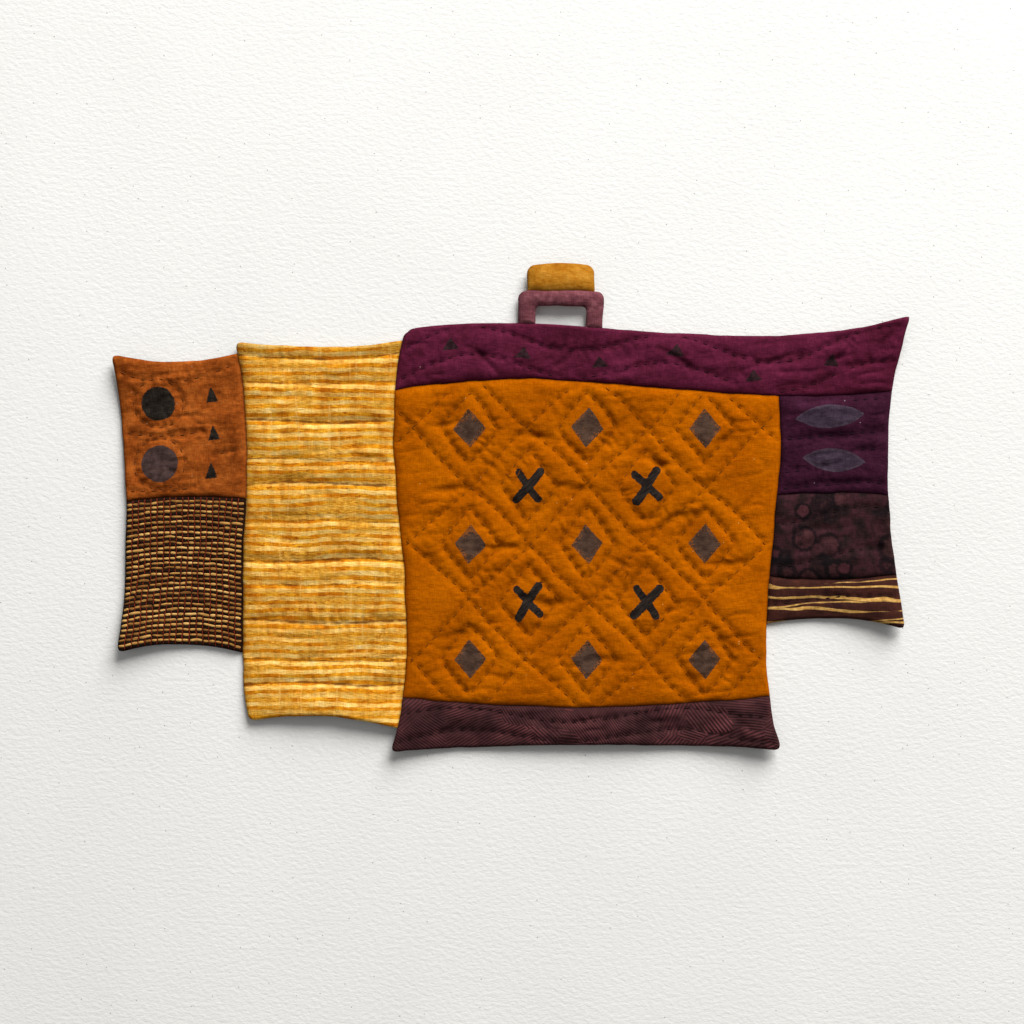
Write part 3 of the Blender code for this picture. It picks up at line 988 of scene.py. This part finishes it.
class Look:
    """Builds one procedural material. Its coordinates are millimetres over the object."""

    def __init__(self, name):
        self.material = bpy.data.materials.new(name)
        self.material.use_nodes = True
        self.nodes = self.material.node_tree.nodes
        self.links = self.material.node_tree.links
        self.shader = self.nodes["Principled BSDF"]
        self.mm = self.vector("MULTIPLY", self.node("TexCoord", output="Object"), (1000, 1000, 1000))

    def join(self, value, socket):
        if isinstance(value, Value):
            self.links.new(value.socket, socket)
        elif isinstance(value, tuple) and socket.type == "RGBA":
            socket.default_value = (*value, 1)
        else:
            socket.default_value = value

    def node(self, kind, inputs=None, output=0, **settings):
        """One output of a new node, whose inputs are given by number or name."""
        node = self.nodes.new("ShaderNode" + kind)
        for key, value in settings.items():
            setattr(node, key, value)
        for key, value in (inputs or {}).items():
            self.join(value, node.inputs[key])
        return Value(self, node.outputs[output])

    def math(self, operation, *values):
        return self.node("Math", dict(enumerate(values)), operation=operation)

    def vector(self, operation, *values):
        return self.node("VectorMath", dict(enumerate(values)), operation=operation)

    def mix(self, share, first, second):
        return self.node("Mix", {0: share, 6: first, 7: second}, 2, data_type="RGBA")

    def scaled(self, vector, factor):
        return self.node("VectorMath", {0: vector, "Scale": factor}, operation="SCALE")

    def stretched(self, size, turn=0.0):
        """Coordinates in which one unit is size millimetres each way, turned in the plane of the cloth."""
        vector = self.mm
        if turn:
            inputs = {"Vector": vector, "Angle": math.radians(turn)}
            vector = self.node("VectorRotate", inputs, rotation_type="Y_AXIS")
        return self.vector("DIVIDE", vector, size)

    def noise(self, size, detail=2.0, rough=0.5, turn=0.0, vector=None):
        """Noise in features of this size, in millimetres across, deep and up, or over a vector."""
        vector = vector or self.stretched(size, turn)
        return self.node("TexNoise", {"Vector": vector, "Scale": 1, "Detail": detail, "Roughness": rough})

    def stray(self, reach, *noise):
        """Noise either side of 0, whose whole range is this reach."""
        return (self.noise(*noise) - 0.5) * reach

    def cells(self, vector, **settings):
        """How far each place is from the middle of its cell, and three random numbers for that cell."""
        away = self.node("TexVoronoi", {"Vector": vector, "Scale": 1}, "Distance", **settings)
        return away, self.split(away.beside("Color"))

    def ramp(self, value, *stops):
        output = self.node("ValToRGB", {0: value})
        ramp = output.socket.node.color_ramp
        while len(ramp.elements) < len(stops):
            ramp.elements.new(0.5)
        for element, (place, colour) in zip(ramp.elements, stops):
            element.position = place
            element.color = (*colour, 1)
        return output

    def mottled(self, noise, dark, light, low=0.36, high=0.64):
        """Two shades that noise runs between. The noise is a value, or the size of features."""
        if isinstance(noise, tuple):
            noise = self.noise(noise, 3.0, 0.6)
        return self.ramp(noise, (low, dark), (high, light))

    def blotched(self, noise, *shades):
        """Four shades that noise runs through."""
        return self.ramp(noise, *zip((0.34, 0.46, 0.56, 0.68), shades))

    def fact(self, name):
        return self.node("Attribute", None, "Fac", attribute_name=name)

    def split(self, vector):
        first = self.node("SeparateXYZ", {0: vector}, "X")
        return [first.beside(axis) for axis in "XYZ"]

    def weave(self, pitch=0.62):
        """Uneven threads both ways, from 0 to 1."""
        return (self.noise((pitch, 40, pitch * 6), 1.0) + self.noise((pitch * 6, 40, pitch), 1.0)) * 0.5

    def finish(self, colour, bumps, roughness, sheen=0.02, tint=(1, 1, 1), gloss=0.03):
        """Joins the colour, adds bumps of (value, millimetres), and sets the cloth's gloss."""
        normal = None
        for value, depth in bumps:
            inputs = {"Strength": 1, "Distance": depth * MM, "Height": value}
            if normal:
                inputs["Normal"] = normal
            normal = self.node("Bump", inputs)
        if isinstance(roughness, tuple):
            roughness = bumps[0][0].to(0.3, 0.7, *roughness)
        for name, value in (
            ("Base Color", colour),
            ("Normal", normal),
            ("Roughness", roughness),
            ("Sheen Weight", sheen),
            ("Sheen Roughness", 0.45),
            ("Sheen Tint", tint),
            ("Specular IOR Level", gloss),
        ):
            self.join(value, self.shader.inputs[name])
        return self.material

    def times(self, colour, value, low, high):
        """The colour, multiplied by low to high as the value goes from 0 to 1."""
        return self.scaled(colour, value.to(0.0, 1.0, low, high))

    def woven(self, colour, weave, low, high):
        """The colour, multiplied by low to high from thread to thread."""
        return self.times(colour, weave.to(0.36, 0.64), low, high)

    def painted_valley_and_seam_shade(self, colour, valley=0.66, seam=0.45):
        """The colour with painted shade: darker in the valleys of the quilting and along the seams."""
        return self.times(self.times(colour, self.fact("low"), 1.0, valley), self.fact("seam"), 1.0, seam)

    def specks(self, colour, speck, size=8.0, radius=0.045, share=0.05):
        """Sparse specks of lint."""
        x, _, z = self.split(self.stretched((size, size, size)))
        away, chance = self.cells(self.node("CombineXYZ", {0: x, 1: z}), voronoi_dimensions="2D")
        return self.mix(away.to(0.6 * radius, radius, 1.0, 0.0) * chance[0].above(1 - share), colour, speck)


def cotton(
    name, dark, middle, light, marks=(), valley=0.66, sheen=0.02, tint=(1, 1, 1), mottle=16, grain=0.15,
    lint=None, gloss=0.03,
):
    """Plain-woven cotton with uneven dye. Marks are painted shapes: fact, ragged edge and colour maker."""
    look = Look(name)
    weave = look.weave()
    broad = look.noise((mottle, 30, mottle * 0.8), 3.0)
    small = look.noise((3.6, 20, 2.0), 3.0, 0.6)
    colour = look.ramp(broad * 0.55 + small * 0.45, (0.36, dark), (0.5, middle), (0.64, light))
    colour = look.woven(colour, weave, 1 - grain, 1 + grain)
    for fact, ragged, painted in marks:
        outside = look.fact(fact)
        inside = (outside + look.stray(ragged, (1.1, 10, 1.1), 3.0, 0.65)).to(-0.18, 0.18, 1.0, 0.0)
        colour = look.mix(inside, colour, painted(look, outside, weave))
    if lint:
        colour = look.specks(colour, lint)
    # Painted shade in the quilting valleys and along the seams
    colour = look.painted_valley_and_seam_shade(colour, valley)
    return look.finish(colour, [(weave, 0.16), (small, 0.25)], (0.86, 0.96), sheen, tint, gloss)


def charcoal_paint(look, outside, weave):
    """Worn brown-charcoal paint that lets the cloth show in specks towards its edges."""
    paint = look.mottled((4.5, 10, 3.2), (0.046, 0.026, 0.018), (0.094, 0.053, 0.037), 0.35, 0.62)
    cover = look.noise((9, 20, 7), 1.0) * 0.42 + 0.55 - outside.to(-3.8, -0.1, 0.0, 0.20)
    holes = look.noise((0.75, 10, 0.6), 2.0, 0.6).above(cover)
    return look.mix(holes * 0.75, paint, (0.30, 0.085, 0.012))


def black_paint(look, outside, weave):
    """Brushed black ink, thinner in streaks."""
    streaks = look.noise((5.5, 10, 0.9), 3.0, 0.6, 40)
    return look.mottled(streaks, (0.012, 0.009, 0.009), (0.034, 0.026, 0.021), 0.38, 0.66)


def black_cloth(look, outside, weave):
    """Near-black cloth stuck on, a little frayed."""
    colour = look.mottled((4.0, 10, 3.0), (0.011, 0.008, 0.006), (0.023, 0.018, 0.014))
    colour = look.woven(colour, weave, 0.75, 1.3)
    frayed = look.noise((0.9, 10, 0.9), 2.0, 0.6).above(0.60)
    return look.mix(outside.to(-0.9, -0.2, 0.0, 0.8) * frayed, colour, (0.110, 0.052, 0.030))


def grey_paint(look, outside, weave):
    return look.mottled((3.2, 10, 2.6), (0.042, 0.024, 0.021), (0.078, 0.047, 0.043), high=0.62)


def dark_patch(look, outside, weave):
    return look.mottled((2.4, 10, 2.0), (0.018, 0.008, 0.010), (0.044, 0.020, 0.024))


def sheer_cloth(look, outside, weave):
    """Sheer grey-violet cloth with pale frayed edges."""
    colour = look.mottled((6, 10, 2.2), (0.033, 0.020, 0.034), (0.054, 0.036, 0.055))
    colour = look.woven(colour, weave, 0.86, 1.16)
    frayed = look.noise((2.4, 10, 2.4), 3.0, 0.6).to(0.42, 0.62, 0.05, 0.45)
    return look.mix(outside.to(-1.3, -0.1) * frayed, colour, (0.100, 0.075, 0.100))


def golden_batik():
    """Pale and golden stripes, blotched along their length and spotted, with brown painted shade in the
    tucks.
    """
    look = Look("golden_batik")
    x, _, z = look.split(look.mm)
    drift = look.noise((34, 90, 26), 2.0) - 0.5
    ragged = look.noise((7.5, 40, 3.2), 3.0, 0.6) - 0.5
    level = z + (drift * 5.0 + ragged * 1.3)
    pale = look.math("SINE", level * (2 * math.pi / STRIPE_PITCH)).to(-0.45, 0.35)
    row = look.math("FLOOR", level / STRIPE_PITCH)
    along = look.node("CombineXYZ", {0: x / 8.5, 1: row * 7.31})
    fine = look.noise((3.4, 30, 0.8), 3.0, 0.65)
    golden = look.noise(None, 3.0, vector=along) * 0.62 + fine * 0.38
    gold = look.blotched(
        golden, (0.400, 0.095, 0.002), (0.600, 0.190, 0.004), (0.740, 0.300, 0.010), (0.880, 0.460, 0.035)
    )
    cream = look.blotched(
        golden, (0.680, 0.310, 0.040), (0.880, 0.490, 0.100), (0.970, 0.630, 0.180), (0.990, 0.720, 0.300)
    )
    pale = pale * look.noise((60, 90, 34), 2.0).to(0.30, 0.62, 0.72, 1.0)
    chance = look.node("TexWhiteNoise", {"W": row}, "Value", noise_dimensions="1D")
    colour = look.mix(pale, gold, look.times(cream, chance, 0.76, 1.06))
    merged = look.noise((34, 60, 8), 3.0, 0.55).to(0.50, 0.62, 0.0, 0.8)
    plain = look.mottled(fine, (0.52, 0.200, 0.010), (0.80, 0.420, 0.050), high=0.62)
    colour = look.mix(merged, colour, plain)
    spots = look.noise((3.4, 30, 1.2), 3.0, 0.65).to(0.54, 0.62, 0.0, 0.9)
    spots = spots * look.noise((26, 60, 14), 2.0).to(0.42, 0.60, 0.25, 1.0) * pale.to(0.0, 1.0, 1.0, 0.3)
    colour = look.mix(spots, colour, (0.380, 0.090, 0.003))
    # Soft vertical streaks of painted fold shade and light, then thin pale vertical streaks
    painted_fold_shading = look.noise((3.2, 40, 26), 3.0, 0.6).to(0.38, 0.62)
    pressed = look.noise((2.2, 40, 36), 2.0, 0.5).to(0.63, 0.70, 0.0, 0.25)
    colour = look.mix(pressed, look.times(colour, painted_fold_shading, 0.93, 1.06), (0.960, 0.600, 0.170))
    weave = look.weave(0.55)
    colour = look.woven(colour, weave, 0.88, 1.10)
    # Painted shade in the quilting valleys
    colour = look.times(colour, look.fact("low"), 1.0, 0.74)
    colour = look.times(colour, look.fact("hem").to(5.6, 6.6, 1.0, 0.0), 1.0, 0.78)
    # Brown painted shade along the crease of each tuck
    tuck_shade = (look.fact("tuck") + ragged * 2.8).to(0.05, 0.95, 0.88, 0.0)
    colour = look.mix(tuck_shade, colour, (0.150, 0.044, 0.005))
    # Painted shade along the seams
    colour = look.times(colour, look.fact("seam"), 1.0, 0.5)
    return look.finish(colour, [(weave, 0.14), (fine, 0.3)], (0.80, 0.92), 0.03)


def burgundy_rib():
    """Fine ribs that run in different directions from patch to patch."""
    look = Look("burgundy_rib")
    cloudy = look.scaled(look.noise((14, 60, 14)).beside("Color"), 0.8)
    _, (lean, bold, close) = look.cells(look.vector("ADD", look.stretched((30, 90, 17)), cloudy))
    angle = lean.to(0.1, 0.9, -1.1, 0.9)
    x, _, z = look.split(look.mm)
    run = x * look.math("SINE", angle) + z * look.math("COSINE", angle)
    closeness = close.to(0.15, 0.85, 2 * math.pi / 1.7, 2 * math.pi / 1.2)
    phase = (run + look.stray(4.0, (34, 60, 30), 1.0)) * closeness
    rib = look.math("SINE", phase).to(-0.9, 0.95)
    tone = look.noise((9, 40, 7), 3.0)
    bright = look.mottled(tone, (0.083, 0.021, 0.025), (0.192, 0.054, 0.062), 0.34, 0.66)
    dark = look.mottled(tone, (0.027, 0.010, 0.011), (0.046, 0.017, 0.018), 0.34, 0.66)
    strength = bold.to(0.0, 1.0, 0.25, 0.72) * look.noise((16, 40, 12), 2.0).to(0.36, 0.62, 0.25, 1.0)
    # The ribs, with painted shade in the quilting valleys and along the seams
    colour = look.painted_valley_and_seam_shade(look.mix(rib * strength, dark, bright), 0.55)
    return look.finish(colour, [(rib, 0.22), (look.weave(), 0.1)], (0.62, 0.80), 0.05, (1.0, 0.55, 0.6))


def batik_finish(look, colour, low, high, roughness):
    """Finishes a dark batik: its weave, painted shade in its quilting valleys and along its seams, and a soft
    bump.
    """
    weave = look.weave()
    colour = look.painted_valley_and_seam_shade(look.woven(colour, weave, low, high), 0.6)
    return look.finish(colour, [(weave, 0.16), (look.noise((4, 10, 3), 2.0), 0.2)], roughness, 0.03)


def dark_batik():
    """Overlapping soft discs of plum, rose and olive in near-black."""
    look = Look("dark_batik")
    colour = look.blotched(
        look.noise((13, 40, 12), 3.0, 0.6),
        (0.008, 0.006, 0.007), (0.025, 0.011, 0.012), (0.046, 0.015, 0.020), (0.018, 0.010, 0.010),
    )
    ragged = look.stray(0.22, (1.8, 10, 1.8), 3.0)
    for size, shift, low, high, shade in (
        (19.0, 5.1, 0.32, 0.44, (0.040, 0.018, 0.017)),
        (15.0, 3.3, 0.28, 0.38, (0.054, 0.019, 0.021)),
        (12.0, 8.9, 0.20, 0.30, (0.070, 0.021, 0.026)),
    ):
        moved = look.vector("ADD", look.stretched((size, 400, size)), (shift, 0, shift * 1.7))
        away, chance = look.cells(moved)
        away = away + ragged
        chosen = chance[0].to(0.15, 0.60)
        rim = away.to(low, high) * away.to(high + 0.04, high + 0.12, 1.0, 0.0)
        colour = look.mix(rim * (chosen * 0.8), colour, (0.007, 0.005, 0.006))
        disc = away.to(low, high, 1.0, 0.0) * chosen
        shaded = look.times(shade, look.noise((3.5, 20, 3.5), 3.0), 0.45, 1.5)
        colour = look.mix(disc * 0.85, colour, shaded)
    return batik_finish(look, colour, 0.85, 1.15, (0.85, 0.95))


def streaked_batik():
    """Dark cloth with thin gold streaks that taper and run together."""
    look = Look("streaked_batik")
    x, _, z = look.split(look.mm)
    wander = look.stray(7.0, (38, 50, 12), 2.0, 0.4)
    ragged = look.stray(0.08, (5, 10, 1.5), 2.0)
    streak = 0
    for lean, pitch, widest in ((0.02, 6.3, 0.12), (-0.07, 11.0, 0.04)):
        phase = (z + wander + x * lean) / pitch
        from_line = look.math("ABSOLUTE", look.math("FRACT", phase) - 0.5)
        wide = 1 + pitch / 40
        width = look.noise((60 * wide, 60 * wide, 5.0 * wide), 2.0).to(0.34, 0.54, -0.06, widest) + ragged
        streak = look.math("MAXIMUM", streak, (from_line - width).to(-0.03, 0.02, 1.0, 0.0))
    ground = look.mottled((8, 30, 5), (0.030, 0.010, 0.009), (0.060, 0.019, 0.013), 0.34, 0.66)
    gold = look.mottled((4, 20, 1.4), (0.400, 0.205, 0.048), (0.620, 0.375, 0.112))
    return batik_finish(look, look.mix(streak, ground, gold), 0.86, 1.12, (0.82, 0.92))


def nubby_ground():
    look = Look("nubby_ground")
    # Mottled dark ground, with painted shade in the valleys and along the seams
    colour = look.painted_valley_and_seam_shade(look.mottled((2.2, 10, 1.2), (0.010, 0.004, 0.002), (0.032, 0.010, 0.004)), 0.7)
    return look.finish(colour, [(look.weave(0.5), 0.3)], (0.88, 0.98))


def nubby_slub():
    """Thick soft gold yarn, each dash of its own tone, with fibres along it."""
    look = Look("nubby_slub")
    fibres = look.noise((2.6, 3, 0.28), 2.0, 0.6)
    colour = look.ramp(
        look.fact("tone") * 0.30 + fibres,
        (0.18, (0.130, 0.052, 0.014)),
        (0.40, (0.290, 0.130, 0.030)),
        (0.60, (0.545, 0.292, 0.080)),
        (0.85, (0.730, 0.455, 0.160)),
    )
    return look.finish(colour, [(fibres, 0.18)], (0.85, 0.98), 0.06)


def yarn(name, colour):
    """Twisted sewing thread."""
    look = Look(name)
    ply = look.noise((0.5, 0.5, 0.5), 2.0)
    dark, light = (tuple(min(share * part, 1) for part in colour) for share in (0.72, 1.22))
    return look.finish(look.mottled(ply, dark, light), [(ply, 0.08)], (0.55, 0.75), 0.03)


def backing_cloth():
    """Plain dark cotton on the back."""
    look = Look("backing_cotton")
    weave = look.weave(0.7)
    tone = look.noise((24, 40, 18), 3.0)
    colour = look.mottled(tone, (0.017, 0.016, 0.020), (0.030, 0.028, 0.034), 0.34, 0.66)
    colour = look.specks(look.woven(colour, weave, 0.78, 1.22), (0.16, 0.15, 0.15), 9, 0.02, 0.4)
    return look.finish(colour, [(weave, 0.2)], (0.88, 0.96), 0.05)


CLOTHS = {
    "rust_block": cotton(
        "rust_cotton", (0.176, 0.036, 0.004), (0.288, 0.065, 0.008), (0.400, 0.103, 0.015),
        [("painted", 1.6, grey_paint), ("brushed", 1.2, black_cloth)], 0.62, mottle=11,
        lint=(0.42, 0.22, 0.12),
    ),
    "nubby_block": nubby_ground(),
    "golden_panel": golden_batik(),
    "ochre_field": cotton(
        "ochre_cotton", (0.338, 0.074, 0.0005), (0.406, 0.094, 0.0006), (0.466, 0.114, 0.0008),
        [("painted", 1.0, charcoal_paint), ("brushed", 1.4, black_paint)], 0.70, 0.0, mottle=26, grain=0.10,
        lint=(0.54, 0.26, 0.07), gloss=0.0,
    ),
    "burgundy_band": burgundy_rib(),
    "magenta_band": cotton(
        "magenta_cotton", (0.068, 0.0075, 0.021), (0.092, 0.010, 0.030), (0.118, 0.014, 0.039),
        [("painted", 1.2, dark_patch)], 0.55, tint=(1.0, 0.7, 0.85), lint=(0.40, 0.24, 0.26),
    ),
    "purple_block": cotton(
        "purple_cotton", (0.027, 0.0052, 0.0145), (0.039, 0.0078, 0.021), (0.053, 0.012, 0.0305),
        [("sheer", 0.8, sheer_cloth)], 0.60, tint=(0.9, 0.75, 1.0), lint=(0.24, 0.18, 0.24),
    ),
    "batik_block": dark_batik(),
    "streaked_strip": streaked_batik(),
}
THREADS = {
    "rust_block": yarn("rust_thread", (0.150, 0.040, 0.008)),
    "ochre_field": yarn("ochre_thread", (0.215, 0.055, 0.002)),
    "burgundy_band": yarn("burgundy_thread", (0.016, 0.007, 0.008)),
    "magenta_band": yarn("magenta_thread", (0.040, 0.008, 0.016)),
    "purple_block": yarn("purple_thread", (0.018, 0.008, 0.016)),
    "batik_block": yarn("plum_thread", (0.014, 0.008, 0.009)),
    "streaked_strip": yarn("maroon_thread", (0.030, 0.011, 0.009)),
}
BACKING = backing_cloth()
BACK_THREAD = yarn("back_thread", (0.055, 0.050, 0.055))

pieces = {}
for name, panel in PANELS.items():
    pieces[name], quilting = panel_piece(name, panel, CLOTHS[name], BACKING)
    if name in THREADS:
        stitches(name + "_stitches", pieces[name], quilting, THREADS[name])
        stitches(name + "_back_stitches", pieces[name], quilting, BACK_THREAD, True)

weft_slubs(
    pieces["nubby_block"], PANELS["nubby_block"], nubby_slub(), yarn("black_yarn", (0.016, 0.006, 0.004)),
    yarn("red_thread", (0.190, 0.026, 0.010)),
)
for name, points in (
    ("ochre_field_tail_low", [(263, 93), (266, 96), (270, 97), (272, 94), (270, 91)]),
    ("ochre_field_tail_high", [(206, 146), (209, 144), (213, 145), (215, 149)]),
):
    thread_tail(name, pieces["ochre_field"], points, THREADS["ochre_field"])


# The hanging tab


def arch(width, height, corner):
    """Points up the left side of a round-cornered arch on the top edge, over it and down its right side."""
    half = width / 2
    flat = half - corner
    top_edge = SEAMS["magenta top"]
    top = top_edge(TAB_MIDDLE) + height
    spring = top - corner

    def leg(side):
        foot = top_edge(TAB_MIDDLE + side * half) - TAB_LAP
        return [(side * half, foot + (spring - foot) * i / 16) for i in range(16)]

    def bend(side):
        angles = [math.pi / 2 * i / 8 for i in range(8)]
        return [(side * (flat + corner * math.cos(a)), spring + corner * math.sin(a)) for a in angles]

    bar = [(flat * (2 * i / 40 - 1), top) for i in range(41)]
    points = leg(-1) + bend(-1) + bar + bend(1)[::-1] + leg(1)[::-1]
    return np.array(points) + (TAB_MIDDLE, 0)


def small_slab(node, slot, x, z, sides, free_sides, material):
    """A small cloth piece of the tab: edges in free_sides are turned, the others are sewn down.

    Where it is sewn behind the top edge, it is thin.
    """
    risen = swell(sides.values())
    height = 0.16 * SOFT_PUCKER(2 * x, 2 * z) + 0.12 * SMALL_PUCKER(1.5 * x, 1.5 * z)
    thick = THICK_EDGE + (THICK_FULL - THICK_EDGE + height) * risen
    behind = np.zeros_like(x)
    for side, distance in sides.items():
        free = 1 if side in free_sides else 0
        curve = edge_round(distance, 0.85)
        thick = thick - free * 0.78 * curve - (1 - free) * 0.4 * np.exp(-distance / 0.8)
        behind = np.maximum(behind, free * 0.66 * curve)
    above = z - SEAMS["magenta top"](x)
    thick = np.minimum(thick, 0.9 + 0.8 * np.clip(above + TAB_LAP, 0, None))
    thick = np.maximum(thick, behind + LEAST_THICK)
    # Painted shade near the edges, where the wadding thins
    facts = {"low": 0.6 * (1 - risen), "seam": np.zeros_like(x)}
    sewn(node, slot, x, z, behind, thick, [material, material], facts)


inner = arch(SLOT_WIDTH, SLOT_HEIGHT, SLOT_CORNER)
outer = arch(LOOP_WIDTH, LOOP_HEIGHT, LOOP_CORNER)
band = (LOOP_WIDTH - SLOT_WIDTH) / 2
share = steps_across(band)
loop_x = inner[:, 0, None] + (outer - inner)[:, 0, None] * share
loop_z = inner[:, 1, None] + (outer - inner)[:, 1, None] * share
share = share + np.zeros_like(loop_x)
loop_sides = {"slot": band * share, "outside": band * (1 - share)}
violet = cotton(
    "violet_cotton", (0.126, 0.036, 0.048), (0.192, 0.057, 0.072), (0.264, 0.090, 0.110), mottle=6, sheen=0.10
)
small_slab("tab_loop", "violet_cotton", loop_x, loop_z, loop_sides, ("slot", "outside"), violet)

cap_u, cap_v = np.meshgrid(steps_across(CAP_WIDTH), steps_across(CAP_HEIGHT), indexing="ij")
cap_foot = SEAMS["magenta top"](TAB_MIDDLE) + LOOP_HEIGHT - 0.1
cap_x = TAB_MIDDLE + CAP_WIDTH * (cap_u - 0.5)
cap_z = cap_foot + cap_v * (CAP_HEIGHT + 0.4 + CAP_RISE * (1 - (2 * cap_u - 1) ** 2))
cap_sides = {
    "left": CAP_WIDTH * cap_u,
    "right": CAP_WIDTH * (1 - cap_u),
    "foot": CAP_HEIGHT * cap_v,
    "top": CAP_HEIGHT * (1 - cap_v),
}
cap_x, cap_z = rounded(cap_x, cap_z, cap_sides, ["left top", "right top"])
light_ochre = cotton(
    "light_ochre_cotton", (0.335, 0.112, 0.006), (0.442, 0.176, 0.014), (0.550, 0.250, 0.032),
    mottle=8, grain=0.07, sheen=0.0,
)
small_slab(
    "tab_cap", "light_ochre_cotton", cap_x, cap_z, cap_sides, ("left", "right", "top"), light_ochre
)


# The wall, which shows only from its front, the floor, the lights and the camera


def plain_sheet(name, corners, material):
    """A backdrop that takes shadows, but throws no light back on the quilt."""
    sheet = mesh_object(name, corners, [(0, 1, 2, 3)], [material])
    sheet.visible_diffuse = sheet.visible_shadow = False


FLOOR_Z = -0.95
WALL_Y = 0.0004
wall = Look("wall_plaster")
plaster = wall.noise((3.2, 3.2, 1.9), 3.0, 0.6)
paint = wall.mottled(wall.noise((90, 90, 90), 2.0), (0.880, 0.878, 0.865), (0.910, 0.908, 0.895), 0.3, 0.7)
wall.finish(wall.specks(paint, (0.42, 0.41, 0.39), 14, 0.028, 0.3), [(plaster, 0.26)], 0.95, 0)
behind = wall.node("NewGeometry", None, "Backfacing")
shown = wall.node(
    "MixShader", {0: behind, 1: Value(wall, wall.shader.outputs[0]), 2: wall.node("BsdfTransparent")}
)
wall.join(shown, wall.nodes["Material Output"].inputs["Surface"])
plain_sheet(
    "wall", [(-1.6, WALL_Y, FLOOR_Z), (1.6, WALL_Y, FLOOR_Z), (1.6, WALL_Y, 1.5), (-1.6, WALL_Y, 1.5)],
    wall.material,
)
floor = Look("floor_pale")
paint = floor.mottled(floor.noise((60, 60, 60), 2.0), (0.46, 0.455, 0.445), (0.50, 0.494, 0.485), 0.3, 0.7)
floor.finish(paint, [(floor.noise((5, 5, 5), 3.0), 0.2)], 0.9, 0)
plain_sheet("floor", [(x, y, FLOOR_Z) for x, y in ((-4, -4), (4, -4), (4, 4), (-4, 4))], floor.material)

world = bpy.data.worlds.new("studio")
bpy.context.scene.world = world
world.use_nodes = True
background = world.node_tree.nodes["Background"]
background.inputs["Color"].default_value = (1.0, 0.99, 0.975, 1)
background.inputs["Strength"].default_value = 0.19
bpy.context.scene.view_settings.view_transform = "Standard"
bpy.context.scene.view_settings.look = "None"


def area_light(name, place, aim, size, power, colour):
    lamp = bpy.data.lights.new(name, "AREA")
    lamp.size = size
    lamp.energy = power
    lamp.color = colour
    light = bpy.data.objects.new(name, lamp)
    light.location = place
    light.rotation_euler = (Vector(aim) - Vector(place)).to_track_quat("-Z", "Y").to_euler()
    bpy.context.scene.collection.objects.link(light)


MIDDLE = (0.0, 0.0, -0.1)
area_light("key", (1.25, -1.75, 2.80), MIDDLE, 2.3, 240.0, (1.0, 0.986, 0.96))
area_light("fill", (-1.3, -1.6, 0.1), MIDDLE, 1.4, 1.5, (0.95, 0.975, 1.0))

IMAGE = 1024
PIXEL = 0.5407 / IMAGE
DISTANCE = 1.35
camera_data = bpy.data.cameras.new("camera")
camera_data.sensor_width = 36
camera_data.lens = camera_data.sensor_width * DISTANCE / (PIXEL * IMAGE)
camera = bpy.data.objects.new("camera", camera_data)
low_corner, high_corner = CAD_BOX
middle = (low_corner + high_corner) / 2
camera.location = (middle.x + PIXEL, -DISTANCE, middle.z - 5.5 * PIXEL)
camera.rotation_euler = (math.pi / 2, 0, 0)
bpy.context.scene.collection.objects.link(camera)
bpy.context.scene.camera = camera
